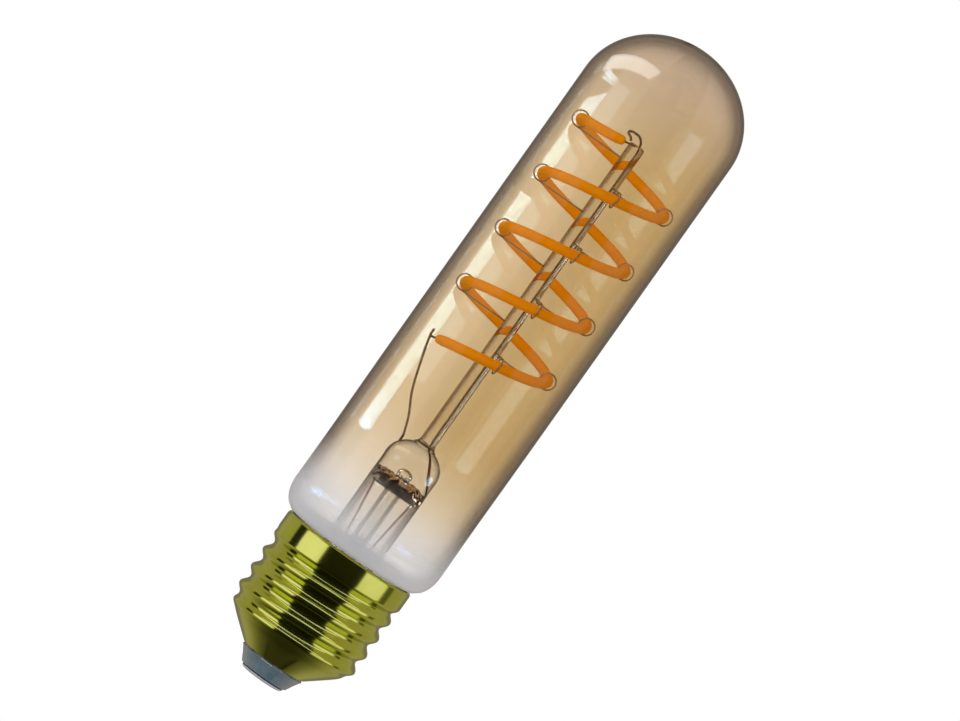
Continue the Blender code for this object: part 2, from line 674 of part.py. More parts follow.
def seal_points(side, exit_point):
    """Route of the short seal wire through the press."""
    low = Vector((side * LEAD_SPREAD, 0, PRESS_BOTTOM - 0.7 * MM))
    inside = Vector((side * LEAD_SPREAD, 0, PRESS_BOTTOM + 1.2 * MM))
    before_exit = inside.lerp(exit_point, 0.6)
    return [low, inside, before_exit, exit_point]


def make_leads(surfaces):
    lower = lower_lead_points()
    upper = upper_lead_points()
    seals = {
        "lead_seal_left": seal_points(-1, lower[0]),
        "lead_seal_right": seal_points(1, upper[0]),
    }
    for name, points in seals.items():
        route = smooth_route(points)
        wire(name, route[:-1], LEAD_RADIUS, surfaces["seal_wire"])
    wire("lead_wire_lower", smooth_route(lower), LEAD_RADIUS, surfaces["nickel_wire"])
    wire("lead_wire_upper", smooth_route(upper), LEAD_RADIUS, surfaces["nickel_wire"])
    wire("feed_wire_left", smooth_route(feed_points(-1), 3), LEAD_RADIUS, surfaces["copper_wire"])
    wire("feed_wire_right", smooth_route(feed_points(1), 3), LEAD_RADIUS, surfaces["copper_wire"])
    past_exit = 1.5 * MM
    channels = {}
    for name, points in seals.items():
        route = smooth_route(points)
        leaving = (route[-1] - route[-2]).normalized()
        entering = (route[0] - route[1]).normalized()
        ends = [route[0] + entering * past_exit, route[-1] + leaving * past_exit]
        channels[name] = [ends[0], *route[1:-1], ends[1]]
    return channels


# ---- Driver inside the cap

def make_sleeve(surfaces):
    """Plastic tube that keeps the driver off the shell, with a ledge under the board."""
    inside = SLEEVE_RADIUS - SLEEVE_WALL
    ledge = inside - SLEEVE_LEDGE
    shelf = BOARD_BOTTOM - SEAT_GAP
    under = shelf - SLEEVE_LEDGE_HEIGHT
    outline = [(SLEEVE_RADIUS, SLEEVE_BOTTOM), (SLEEVE_RADIUS, SLEEVE_TOP), (inside, SLEEVE_TOP)]
    outline += [(inside, shelf), (ledge, shelf)]
    if under - SLEEVE_LEDGE > SLEEVE_BOTTOM + SEAT_GAP:
        outline += [(ledge, under), (inside, under - SLEEVE_LEDGE), (inside, SLEEVE_BOTTOM)]
    else:
        outline += [(ledge, SLEEVE_BOTTOM)]
    turned("driver_sleeve", outline, surfaces["white_plastic"])


def make_board(surfaces):
    outline = [(0, BOARD_BOTTOM), (BOARD_RADIUS, BOARD_BOTTOM)]
    outline += [(BOARD_RADIUS, BOARD_TOP), (0, BOARD_TOP)]
    turned("driver_board", outline, surfaces["circuit_board"])


def can_outline(radius, height, groove):
    """Half outline of an aluminium can, with its rolled groove near the base."""
    edge = 0.4 * MM
    return [
        (0, 0),
        (radius - edge, 0),
        (radius, edge),
        (radius, groove - 0.5 * MM),
        (radius - 0.3 * MM, groove),
        (radius, groove + 0.5 * MM),
        (radius, height - edge),
        (radius - edge, height),
        (0, height),
    ]


def make_top_parts(surfaces):
    radius = BULK_CAPACITOR_DIAMETER / 2
    outline = can_outline(radius, BULK_CAPACITOR_LENGTH, 1.4 * MM)
    bulk = turned("bulk_capacitor", outline, surfaces["capacitor_sleeve"], SMALL_SEGMENTS)
    bulk.rotation_euler = (0, math.radians(90), 0)
    bulk_y = -(BOARD_RADIUS - radius - 1.4 * MM)
    bulk.location = (-BULK_CAPACITOR_LENGTH / 2, bulk_y, PART_FLOOR + radius)
    beside_feed = FEED_WIRE_X + LEAD_RADIUS + FEED_WIRE_ROOM

    radius = OUTPUT_CAPACITOR_DIAMETER / 2
    outline = can_outline(radius, OUTPUT_CAPACITOR_HEIGHT, 1.3 * MM)
    output = turned("output_capacitor", outline, surfaces["capacitor_sleeve"], SMALL_SEGMENTS)
    output.location = (beside_feed + radius, 1.2 * MM, PART_FLOOR)

    radius = CHOKE_DIAMETER / 2
    flange = 0.8 * MM
    waist = radius * 0.5
    core = [(0, 0), (radius, 0), (radius, flange), (waist, flange)]
    core += [(waist, CHOKE_HEIGHT - flange), (radius, CHOKE_HEIGHT - flange)]
    core += [(radius, CHOKE_HEIGHT), (0, CHOKE_HEIGHT)]
    winding = [
        (waist + WIRE_GAP, flange + WIRE_GAP),
        (radius - 0.3 * MM, flange + WIRE_GAP),
        (radius - 0.3 * MM, CHOKE_HEIGHT - flange - WIRE_GAP),
        (waist + WIRE_GAP, CHOKE_HEIGHT - flange - WIRE_GAP),
    ]
    place = (-(beside_feed + radius), 1.8 * MM, PART_FLOOR)
    turned("choke_core", core, surfaces["ferrite"], SMALL_SEGMENTS).location = place
    turned("choke_winding", winding, surfaces["wound_copper"], SMALL_SEGMENTS).location = place


def make_radio(surfaces):
    """Upright radio board along the back edge, its screening can facing the middle."""
    half_width = RADIO_BOARD_WIDTH / 2
    back = math.sqrt(BOARD_RADIUS**2 - half_width**2) - 1.1 * MM
    middle_z = PART_FLOOR + RADIO_BOARD_HEIGHT / 2
    size = (RADIO_BOARD_WIDTH, RADIO_BOARD_THICKNESS, RADIO_BOARD_HEIGHT)
    y = back - RADIO_BOARD_THICKNESS / 2
    block("radio_board", size, (0, y, middle_z), surfaces["circuit_board"], 0.1 * MM)
    can = (6.4 * MM, 1.3 * MM, 4.8 * MM)
    can_y = y - RADIO_BOARD_THICKNESS / 2 - SEAT_GAP - can[1] / 2
    block("radio_shield", can, (-0.9 * MM, can_y, middle_z), surfaces["shield_steel"], 0.25 * MM)
    start_y = y - RADIO_BOARD_THICKNESS / 2 - SEAT_GAP - LEAD_RADIUS
    behind_tube = EXHAUST_DIAMETER / 2 + 1.3 * MM
    leaning = behind_tube + (start_y - behind_tube) * 0.35
    route = [
        (3.9 * MM, start_y, middle_z),
        (3.8 * MM, start_y - 0.1 * MM, PART_FLOOR + RADIO_BOARD_HEIGHT),
        (2.4 * MM, leaning, NECK_BOTTOM + 2 * MM),
        (0.6 * MM, behind_tube, NECK_BOTTOM + 4.4 * MM),
        (0, behind_tube, NECK_BOTTOM + 8.4 * MM),
    ]
    wire("radio_antenna", smooth_route(route), LEAD_RADIUS, surfaces["copper_wire"])


def held_inside(x, y, size, reach):
    """Centre of a block placed as asked, or moved in until its outer corner is within reach."""
    corner = Vector((abs(x) + size[0] / 2, abs(y) + size[1] / 2))
    inward = corner.normalized() * max(0, corner.length - reach)
    return x - math.copysign(inward.x, x), y - math.copysign(inward.y, y)


def make_bottom_parts(surfaces):
    top = BOARD_BOTTOM - SEAT_GAP
    reach = SLEEVE_RADIUS - SLEEVE_WALL - SLEEVE_LEDGE - SEAT_GAP
    depth = top - INSULATOR_TOP - SEAT_GAP
    height = 1.6 * MM
    rectifier = (4.7 * MM, 3.9 * MM, height)
    rectifier_x, rectifier_y = held_inside(-4.4 * MM, -3.6 * MM, rectifier, reach)
    place = (rectifier_x, rectifier_y, top - height / 2)
    block("bridge_rectifier", rectifier, place, surfaces["black_plastic"])
    chip = (4.9 * MM, 3.9 * MM, height)
    chip_x, chip_y = held_inside(4.0 * MM, -3.6 * MM, chip, reach)
    block("driver_chip", chip, (chip_x, chip_y, top - height / 2), surfaces["black_plastic"])

    radius = min(1.2 * MM, depth / 2)
    length = 6.0 * MM
    neck = 0.35 * MM
    outline = [(0, 0), (radius - neck, 0), (radius, neck), (radius, 1.3 * MM)]
    outline += [(radius - 0.2 * MM, 1.6 * MM), (radius - 0.2 * MM, length - 1.6 * MM)]
    outline += [(radius, length - 1.3 * MM), (radius, length - neck), (radius - neck, length), (0, length)]
    fuse = turned("fuse_resistor", outline, surfaces["resistor_body"], 12)
    fuse.rotation_euler = (0, math.radians(90), 0)
    fuse_y = min(6.0 * MM, math.sqrt(reach**2 - length**2 / 4) - radius)
    fuse.location = (-length / 2, fuse_y, top - radius)

    radius = 2.2 * MM
    thick = min(2.0 * MM, depth)
    outline = [(0, 0), (radius - 0.5 * MM, 0), (radius, 0.5 * MM), (radius, thick - 0.5 * MM)]
    outline += [(radius - 0.5 * MM, thick), (0, thick)]
    varistor = turned("surge_varistor", outline, surfaces["blue_varistor"], SMALL_SEGMENTS)
    varistor_y = max(1.6 * MM, rectifier_y + rectifier[1] / 2 + SEAT_GAP + radius)
    varistor_x = min(5.9 * MM, math.sqrt((reach - radius) ** 2 - varistor_y**2))
    varistor.location = (-varistor_x, varistor_y, top - thick)


def make_hookup_wires(surfaces):
    radius = HOOKUP_DIAMETER / 2
    live = [
        (0, 0, 1.9 * MM),
        (0, 0, INSULATOR_TOP),
        (0.5 * MM, 0.3 * MM, SLEEVE_BOTTOM),
        (1.6 * MM, 1.2 * MM, BOARD_BOTTOM - SEAT_GAP),
    ]
    wire("live_wire", smooth_route(live), radius, surfaces["red_insulation"])
    radius = 0.2 * MM
    between = (SLEEVE_RADIUS + THREAD_ROOT_RADIUS - CAP_SHEET) / 2
    inside = SLEEVE_RADIUS - SLEEVE_WALL - SEAT_GAP - radius
    over = SLEEVE_TOP + SEAT_GAP + radius
    neutral = [
        (inside - 0.5 * MM, PART_FLOOR),
        (inside, PART_FLOOR + 2.5 * MM),
        (inside, SLEEVE_TOP - 0.6 * MM),
        (inside + 0.35 * (between - inside), over),
        (inside + 0.75 * (between - inside), over),
        (between, SLEEVE_TOP - 0.6 * MM),
        (between, SLEEVE_TOP - 4.6 * MM),
    ]
    away = math.radians(-28)
    route = [(r * math.cos(away), r * math.sin(away), z) for r, z in neutral]
    wire("neutral_wire", smooth_route(route, 3), radius, surfaces["copper_wire"])


# ---- The lamp

def clear_scene():
    for old in list(bpy.data.objects):
        bpy.data.objects.remove(old)


def make_lamp():
    surfaces = make_materials()
    make_envelope(surfaces)
    make_shell(surfaces)
    make_insulator(surfaces)
    make_contact(surfaces)
    make_cement(surfaces)

    supports = support_places()
    channels = make_leads(surfaces)
    make_flare(surfaces)
    make_press(surfaces, channels)
    make_exhaust_tube(surfaces)
    make_rod(surfaces, supports)
    make_filament(surfaces)
    make_terminals(surfaces)
    make_supports(surfaces, supports)

    make_sleeve(surfaces)
    make_board(surfaces)
    make_top_parts(surfaces)
    make_radio(surfaces)
    make_bottom_parts(surfaces)
    make_hookup_wires(surfaces)


clear_scene()
make_lamp()
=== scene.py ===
import math

import bmesh
import bpy
from mathutils import Matrix, Vector


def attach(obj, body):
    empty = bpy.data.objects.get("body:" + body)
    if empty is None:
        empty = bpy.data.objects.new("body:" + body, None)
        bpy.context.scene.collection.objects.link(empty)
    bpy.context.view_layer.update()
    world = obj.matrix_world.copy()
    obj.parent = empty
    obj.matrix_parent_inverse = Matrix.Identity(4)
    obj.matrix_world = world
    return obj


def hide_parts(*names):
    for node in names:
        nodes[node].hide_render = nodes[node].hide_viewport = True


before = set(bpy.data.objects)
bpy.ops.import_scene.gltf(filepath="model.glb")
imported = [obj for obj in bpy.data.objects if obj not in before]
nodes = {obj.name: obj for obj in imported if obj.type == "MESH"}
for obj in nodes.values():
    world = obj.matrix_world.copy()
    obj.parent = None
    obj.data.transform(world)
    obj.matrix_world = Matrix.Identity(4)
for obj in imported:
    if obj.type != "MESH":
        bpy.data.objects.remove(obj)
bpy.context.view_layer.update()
mm = 0.001
print("frame loaded:", len(nodes), "nodes")


# mesh helpers

def blend01(low, high, value):
    t = min(1.0, max(0.0, (value - low) / (high - low)))
    return t * t * (3 - 2 * t)


def addRings(bm, rings, loop=False):
    # skins neighbouring rings; a ring of one point closes to a tip
    pairs = list(zip(rings, rings[1:]))
    if loop:
        pairs.append((rings[-1], rings[0]))
    for low, high in pairs:
        count = max(len(low), len(high))
        for i in range(count):
            j = (i + 1) % count
            corners = [low[i % len(low)], low[j % len(low)], high[j % len(high)], high[i % len(high)]]
            corners = list(dict.fromkeys(corners))
            if len(corners) > 2:
                bm.faces.new(corners)


def addLathe(bm, outline, steps, loop=False):
    # outline is (radius, height) in mm
    rings = []
    for radius, height in outline:
        if radius < 1e-6:
            rings.append([bm.verts.new((0, 0, height * mm))])
            continue
        ring = []
        for i in range(steps):
            a = math.tau * i / steps
            ring.append(bm.verts.new((radius * mm * math.cos(a), radius * mm * math.sin(a), height * mm)))
        rings.append(ring)
    addRings(bm, rings, loop)


wireEnd = {"rings": [(0.5, 0.5), (0.22, 0.85)], "tip": 1.1}  # run past the end and width, in radii


def addTube(bm, route, radius, sides):
    # wire with round ends along route (mm); radius is a number or a function of the run from 0 to 1
    points = [Vector(p) for p in route]
    last = len(points) - 1
    size = radius if callable(radius) else (lambda run: radius)
    along = [(b - a).normalized() for a, b in zip(points, points[1:])]
    along.append(along[-1])
    tangents = [along[0]] + [(a + b).normalized() for a, b in zip(along, along[1:])]
    tangents[-1] = along[-1]
    side = tangents[0].orthogonal().normalized()
    rings = []
    for k, (point, tangent) in enumerate(zip(points, tangents)):
        side = (side - tangent * side.dot(tangent)).normalized()
        other = tangent.cross(side)
        r = size(k / last)
        stops = [(0, 1)]
        if k == 0:
            stops = [(-out * r, width) for out, width in wireEnd["rings"]] + stops
            rings.append([bm.verts.new((point + tangent * stops[0][0] * wireEnd["tip"]) * mm)])
        if k == last:
            stops += [(out * r, width) for out, width in reversed(wireEnd["rings"])]
        for shift, width in stops:
            ring = []
            for i in range(sides):
                a = math.tau * i / sides
                spot = point + tangent * shift + (side * math.cos(a) + other * math.sin(a)) * r * width
                ring.append(bm.verts.new(spot * mm))
            rings.append(ring)
        if k == last:
            rings.append([bm.verts.new((point + tangent * stops[-1][0] * wireEnd["tip"]) * mm)])
    addRings(bm, rings)


def arcPoints(centre, radii, start, end, steps):
    made = []
    for i in range(steps + 1):
        a = math.radians(start + (end - start) * i / steps)
        made.append((centre[0] + radii[0] * math.cos(a), centre[1] + radii[1] * math.sin(a)))
    return made


def softRoute(points, perSpan=10):
    # smooth curve through the points, slopes by chord length
    knots = [Vector(p) for p in points]
    spans = [(b - a).length for a, b in zip(knots, knots[1:])]
    slopes = [(knots[1] - knots[0]) / spans[0]]
    for i in range(1, len(spans)):
        slopes.append((knots[i + 1] - knots[i - 1]) / (spans[i - 1] + spans[i]))
    slopes.append((knots[-1] - knots[-2]) / spans[-1])
    route = []
    for i, span in enumerate(spans):
        for step in range(perSpan):
            t = step / perSpan
            spot = knots[i].lerp(knots[i + 1], t * t * (3 - 2 * t))
            route.append(spot + slopes[i] * t * (1 - t) ** 2 * span - slopes[i + 1] * t * t * (1 - t) * span)
    route.append(knots[-1])
    return route


def finishPiece(bm, name, surface, stands=(), sharp=50, turnOut=True):
    if turnOut:
        bmesh.ops.recalc_face_normals(bm, faces=bm.faces)
    mesh = bpy.data.meshes.new(name)
    bm.to_mesh(mesh)
    bm.free()
    mesh.materials.append(surface)
    mesh.shade_smooth()
    mesh.set_sharp_from_angle(angle=math.radians(sharp))
    piece = bpy.data.objects.new(name, mesh)
    bpy.context.scene.collection.objects.link(piece)
    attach(piece, "root")
    if stands:
        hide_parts(*stands)
    return piece


def turnPiece(name, outline, steps, look, stands=(), sharp=35, loop=True):
    # a piece turned from one outline
    bm = bmesh.new()
    addLathe(bm, outline, steps, loop)
    return finishPiece(bm, name, looks[look], stands, sharp)


# shader helpers

def newGroup(name, inputs, outputs):
    group = bpy.data.node_groups.new(name, "ShaderNodeTree")
    for label, kind, value in inputs:
        socket = group.interface.new_socket(label, in_out="INPUT", socket_type=kind)
        if value is not None:
            socket.default_value = value
    for label, kind in outputs:
        group.interface.new_socket(label, in_out="OUTPUT", socket_type=kind)
    return group, group.nodes.new("NodeGroupInput"), group.nodes.new("NodeGroupOutput")


def makeMottle():
    # cloudy shift between two colours, with matching roughness and a fine relief
    inputs = [
        ("Light Colour", "NodeSocketColor", (1, 1, 1, 1)), ("Dark Colour", "NodeSocketColor", (0, 0, 0, 1)),
        ("Cloud Scale", "NodeSocketFloat", 300), ("Grain Scale", "NodeSocketFloat", 4000),
        ("Smooth", "NodeSocketFloat", 0.2), ("Rough", "NodeSocketFloat", 0.4),
    ]
    outputs = [("Colour", "NodeSocketColor"), ("Roughness", "NodeSocketFloat"), ("Relief", "NodeSocketFloat")]
    group, entry, leave = newGroup("mottle", inputs, outputs)
    node, link = group.nodes.new, group.links.new
    place = node("ShaderNodeTexCoord")
    cloud = node("ShaderNodeTexNoise")
    cloud.inputs["Detail"].default_value = 4
    grain = node("ShaderNodeTexNoise")
    grain.inputs["Detail"].default_value = 3
    for noise, label in ((cloud, "Cloud Scale"), (grain, "Grain Scale")):
        link(place.outputs["Object"], noise.inputs["Vector"])
        link(entry.outputs[label], noise.inputs["Scale"])
    spread = node("ShaderNodeMapRange")
    spread.inputs["From Min"].default_value = 0.3
    spread.inputs["From Max"].default_value = 0.7
    link(cloud.outputs["Fac"], spread.inputs["Value"])
    tone = node("ShaderNodeMix")
    tone.data_type = "RGBA"
    link(spread.outputs["Result"], tone.inputs["Factor"])
    link(entry.outputs["Light Colour"], tone.inputs["A"])
    link(entry.outputs["Dark Colour"], tone.inputs["B"])
    polish = node("ShaderNodeMapRange")
    link(grain.outputs["Fac"], polish.inputs["Value"])
    link(entry.outputs["Smooth"], polish.inputs["To Min"])
    link(entry.outputs["Rough"], polish.inputs["To Max"])
    link(tone.outputs["Result"], leave.inputs["Colour"])
    link(polish.outputs["Result"], leave.inputs["Roughness"])
    link(grain.outputs["Fac"], leave.inputs["Relief"])
    return group


def makeHeightFade():
    # 1 at Low, falling to 0 at High along the lamp; a larger Fall drops sooner
    inputs = [("Low", "NodeSocketFloat", 0), ("High", "NodeSocketFloat", 1), ("Fall", "NodeSocketFloat", 2)]
    group, entry, leave = newGroup("heightFade", inputs, [("Mask", "NodeSocketFloat")])
    node, link = group.nodes.new, group.links.new
    place = node("ShaderNodeTexCoord")
    split = node("ShaderNodeSeparateXYZ")
    fade = node("ShaderNodeMapRange")
    fade.inputs["To Min"].default_value = 1
    fade.inputs["To Max"].default_value = 0
    power = node("ShaderNodeMath")
    power.operation = "POWER"
    link(place.outputs["Object"], split.inputs["Vector"])
    link(split.outputs["Z"], fade.inputs["Value"])
    link(entry.outputs["Low"], fade.inputs["From Min"])
    link(entry.outputs["High"], fade.inputs["From Max"])
    link(fade.outputs["Result"], power.inputs[0])
    link(entry.outputs["Fall"], power.inputs[1])
    link(power.outputs[0], leave.inputs["Mask"])
    return group


mottle = makeMottle()
heightFade = makeHeightFade()


def useGroup(material, group, **values):
    made = material.node_tree.nodes.new("ShaderNodeGroup")
    made.node_tree = group
    for label, value in values.items():
        made.inputs[label].default_value = value
    return made


def fadeMask(material, values):
    made = useGroup(material, heightFade, Low=values["full"], High=values["gone"], Fall=values["fall"])
    return made.outputs["Mask"]


def isSocket(value):
    return isinstance(value, bpy.types.NodeSocket)


def mixColour(tree, factor, a, b):
    # a and b are colours or sockets
    made = tree.nodes.new("ShaderNodeMix")
    made.data_type = "RGBA"
    tree.links.new(factor, made.inputs["Factor"])
    for label, value in (("A", a), ("B", b)):
        if isSocket(value):
            tree.links.new(value, made.inputs[label])
        else:
            made.inputs[label].default_value = (*value, 1)
    return made.outputs["Result"]


def maths(tree, kind, a, b=None, clamp=False):
    # a and b are numbers or sockets
    made = tree.nodes.new("ShaderNodeMath")
    made.operation = kind
    made.use_clamp = clamp
    for i, value in enumerate((a, b)):
        if isSocket(value):
            tree.links.new(value, made.inputs[i])
        elif value is not None:
            made.inputs[i].default_value = value
    return made.outputs[0]


def ramp(tree, value, low, high, first=0, last=1, curve="SMOOTHSTEP"):
    # runs from first to last while value runs from low to high
    made = tree.nodes.new("ShaderNodeMapRange")
    made.interpolation_type = curve
    for label, number in (("From Min", low), ("From Max", high), ("To Min", first), ("To Max", last)):
        made.inputs[label].default_value = number
    tree.links.new(value, made.inputs["Value"])
    return made.outputs["Result"]


def openWhere(tree, mask, shader, output, tint=(1, 1, 1)):
    # the surface lets light straight through where mask is 1
    clear = tree.nodes.new("ShaderNodeBsdfTransparent")
    clear.inputs["Color"].default_value = (*tint, 1)
    mix = tree.nodes.new("ShaderNodeMixShader")
    tree.links.new(mask, mix.inputs[0])
    tree.links.new(shader.outputs[0], mix.inputs[1])
    tree.links.new(clear.outputs[0], mix.inputs[2])
    tree.links.new(mix.outputs[0], output.inputs["Surface"])


def startMaterial(name, shown):
    material = bpy.data.materials.new(name)
    material.use_nodes = True
    material.diffuse_color = (*shown, 1)
    tree = material.node_tree
    return material, tree.nodes["Principled BSDF"], tree.nodes["Material Output"], tree


def setSockets(shader, values):
    for label, value in values.items():
        shader.inputs[label].default_value = value


def mottledMaterial(name, light, dark, cloud, grain, smooth, rough, relief, sockets):
    material, shader, _, tree = startMaterial(name, light)
    setSockets(shader, sockets)
    look = useGroup(material, mottle, **{
        "Light Colour": (*light, 1), "Dark Colour": (*dark, 1), "Cloud Scale": cloud,
        "Grain Scale": grain, "Smooth": smooth, "Rough": rough,
    })
    bump = tree.nodes.new("ShaderNodeBump")
    bump.inputs["Strength"].default_value = relief
    bump.inputs["Distance"].default_value = reliefHeight
    tree.links.new(look.outputs["Colour"], shader.inputs["Base Color"])
    tree.links.new(look.outputs["Roughness"], shader.inputs["Roughness"])
    tree.links.new(look.outputs["Relief"], bump.inputs["Height"])
    tree.links.new(bump.outputs["Normal"], shader.inputs["Normal"])
    return material


def glassMaterial(name, middle, edge, shade, clearTo, fullAt, sockets, shadedSide=None, bare=None, crown=None):
    # clear wall with painted shade darkening it towards its outline, where it is seen along its length; open
    # to the panels' light
    material, shader, output, tree = startMaterial(name, middle)
    setSockets(shader, {"Metallic": 0, "Transmission Weight": 1, **sockets})
    facing = tree.nodes.new("ShaderNodeLayerWeight")
    facing.inputs["Blend"].default_value = 0.5
    edgeOn = ramp(tree, facing.outputs["Facing"], clearTo, fullAt)
    centre = middle
    if shadedSide:
        # painted shade: the tint is darker towards the +X side of the tube, away from the light
        place = tree.nodes.new("ShaderNodeTexCoord")
        split = tree.nodes.new("ShaderNodeSeparateXYZ")
        tree.links.new(place.outputs["Object"], split.inputs[0])
        across = ramp(tree, split.outputs["X"], shadedSide["from"], shadedSide["to"])
        centre = mixColour(tree, across, centre, shadedSide["middle"])
    if crown:
        # greyer towards the top of the dome
        centre = mixColour(tree, fadeMask(material, crown), centre, crown["middle"])
    # painted shade: the edge colour darkens the glass towards its outline
    colour = mixColour(tree, edgeOn, centre, edge)
    if bare:
        # the amber coat gives way to clear glass towards the cap
        plain = mixColour(tree, edgeOn, bare["middle"], bare["edge"])
        colour = mixColour(tree, fadeMask(material, bare), colour, plain)
    tree.links.new(colour, shader.inputs["Base Color"])
    light = tree.nodes.new("ShaderNodeLightPath")
    openWhere(tree, light.outputs["Is Shadow Ray"], shader, output, shade)
    return material


reliefHeight = 0.00003  # depth of the fine relief on every mottled finish

# light and dark colour, cloud and grain scale, smooth and rough end, relief, other sockets
finishes = {
    "nickelWire": [(0.42, 0.32, 0.22), (0.28, 0.2, 0.14), 900, 9000, 0.42, 0.6, 0.15, {"Metallic": 1}],
    "supportWire": [(0.6, 0.5, 0.4), (0.42, 0.34, 0.27), 900, 9000, 0.4, 0.6, 0.15, {"Metallic": 0.6}],
    "sealWire": [(0.30, 0.14, 0.08), (0.14, 0.06, 0.04), 900, 9000, 0.35, 0.5, 0.15, {"Metallic": 1}],
    "copperWire": [(0.62, 0.30, 0.17), (0.45, 0.2, 0.11), 700, 9000, 0.25, 0.42, 0.1, {"Metallic": 1}],
    "insulator": [(0.17, 0.24, 0.285), (0.11, 0.165, 0.2), 260, 5000, 0.12, 0.2, 0.05,
                  {"Coat Weight": 1.0, "Coat IOR": 1.7, "Coat Roughness": 0.08}],
    "contact": [(0.74, 0.77, 0.8), (0.6, 0.63, 0.66), 500, 7000, 0.42, 0.6, 0.2, {"Metallic": 0.3}],
    "solder": [(0.55, 0.56, 0.58), (0.4, 0.41, 0.43), 1200, 6000, 0.3, 0.5, 0.4, {"Metallic": 1}],
    "cement": [(0.78, 0.74, 0.66), (0.62, 0.58, 0.5), 500, 5000, 0.8, 0.95, 0.8, {}],
    "whitePlastic": [(0.8, 0.8, 0.78), (0.74, 0.74, 0.71), 150, 7000, 0.4, 0.55, 0.2, {}],
    "circuitBoard": [(0.02, 0.16, 0.06), (0.015, 0.11, 0.045), 600, 5000, 0.3, 0.5, 0.3, {}],
    "shieldSteel": [(0.6, 0.6, 0.61), (0.5, 0.5, 0.52), 400, 8000, 0.25, 0.4, 0.15, {"Metallic": 1}],
    "redSleeve": [(0.5, 0.03, 0.02), (0.38, 0.02, 0.015), 300, 6000, 0.35, 0.5, 0.2, {}],
    "capacitorSleeve": [(0.03, 0.045, 0.13), (0.02, 0.03, 0.09), 300, 6000, 0.2, 0.35, 0.1,
                        {"Coat Weight": 0.3}],
    "ferrite": [(0.09, 0.09, 0.1), (0.05, 0.05, 0.055), 700, 5000, 0.55, 0.75, 0.6, {}],
    "woundCopper": [(0.66, 0.3, 0.1), (0.5, 0.2, 0.07), 400, 3000, 0.2, 0.4, 0.9, {"Metallic": 1}],
    "blackPlastic": [(0.022, 0.022, 0.025), (0.014, 0.014, 0.016), 400, 7000, 0.35, 0.55, 0.35, {}],
    "resistor": [(0.3, 0.48, 0.42), (0.24, 0.4, 0.35), 300, 5000, 0.3, 0.45, 0.2, {"Coat Weight": 0.3}],
    "varistor": [(0.03, 0.1, 0.36), (0.02, 0.07, 0.27), 300, 5000, 0.25, 0.4, 0.3, {"Coat Weight": 0.4}],
}
looks = {name: mottledMaterial(name, *values) for name, values in finishes.items()}

# each glass turns to its edge colour towards its outline: painted shade
# heights in m from the bottom of the lamp
amberLook = {
    "middle": (0.868, 0.745, 0.565), "edge": (0.115, 0.07, 0.045), "shade": (0.95, 0.9, 0.82),
    "clearTo": 0.28, "fullAt": 0.9, "sockets": {"IOR": 1.45, "Roughness": 0.0},
    # painted shade: darker tint towards the +X side of the tube, away from the light
    "shadedSide": {"from": -0.011, "to": 0.007, "middle": (0.755, 0.61, 0.385)},
    "crown": {"full": 0.133, "gone": 0.112, "fall": 1.2, "middle": (0.75, 0.65, 0.545)},
    "bare": {
        "full": 0.031, "gone": 0.056, "fall": 1.4, "middle": (0.975, 0.96, 0.945), "edge": (0.27, 0.24, 0.23),
    },
}
stemLook = {
    "middle": (0.99, 0.975, 0.94), "edge": (0.09, 0.055, 0.035), "shade": (0.96, 0.94, 0.9),
    "clearTo": 0.25, "fullAt": 0.8, "sockets": {"IOR": 1.45, "Roughness": 0.0},
}
rodLook = {
    "middle": (0.97, 0.95, 0.92), "edge": (0.42, 0.33, 0.25), "shade": (0.96, 0.94, 0.9),
    "clearTo": 0.04, "fullAt": 0.16, "sockets": {"IOR": 1.45, "Roughness": 0.0},
}
pressLook = {"light": (0.07, 0.045, 0.028), "dark": (0.002, 0.001, 0.001), "cloud": 900, "grain": 3000}
brass = {
    "light": (0.56, 0.64, 0.09), "dark": (0.48, 0.54, 0.06), "cloud": 180, "grain": 6000, "smooth": 0.1,
    "rough": 0.15,
}
phosphor = {
    "light": (0.95, 0.38, 0.002), "dark": (0.88, 0.31, 0.001), "cloud": 700, "grain": 3500, "smooth": 0.4,
    "rough": 0.6, "relief": 0.4,
    # painted glow: a faint orange emission brightens the coat, though the filament is not lit
    "sockets": {"Specular IOR Level": 0.12, "Emission Color": (1, 0.42, 0, 1), "Emission Strength": 0.22},
}
spray = {
    "tone": (0.9, 0.9, 0.93), "full": 0.0275, "gone": 0.044, "fall": 1.7, "cover": 0.48, "edgeCover": 0.85,
    "edgeAt": 0.8, "blend": 0.45, "cloud": 260, "grain": 5000, "thin": 0.85, "dense": 1.0,
    "sockets": {
        "Roughness": 0.4, "Coat Weight": 0.2, "Coat Roughness": 0.1,
        # painted glow: a faint white emission brightens the spray
        "Emission Color": (0.95, 0.95, 1, 1), "Emission Strength": 0.08,
    },
}


def pressMaterial():
    # smoky wrinkled glass where the press closes on the leads
    material, shader, _, tree = startMaterial("pressGlass", pressLook["light"])
    setSockets(shader, {"Metallic": 0, "Transmission Weight": 1, "IOR": 1.45, "Roughness": 0.05})
    look = useGroup(material, mottle, **{
        "Light Colour": (*pressLook["light"], 1), "Dark Colour": (*pressLook["dark"], 1),
        "Cloud Scale": pressLook["cloud"], "Grain Scale": pressLook["grain"],
    })
    tree.links.new(look.outputs["Colour"], shader.inputs["Base Color"])
    return material


def brassMaterial():
    # lacquered green-gold mirror with a faint rolled grain
    material, shader, _, tree = startMaterial("capBrass", brass["light"])
    setSockets(shader, {"Metallic": 1})
    look = useGroup(material, mottle, **{
        "Light Colour": (*brass["light"], 1), "Dark Colour": (*brass["dark"], 1),
        "Cloud Scale": brass["cloud"], "Grain Scale": brass["grain"],
        "Smooth": brass["smooth"], "Rough": brass["rough"],
    })
    tree.links.new(look.outputs["Colour"], shader.inputs["Base Color"])
    tree.links.new(look.outputs["Roughness"], shader.inputs["Roughness"])
    return material


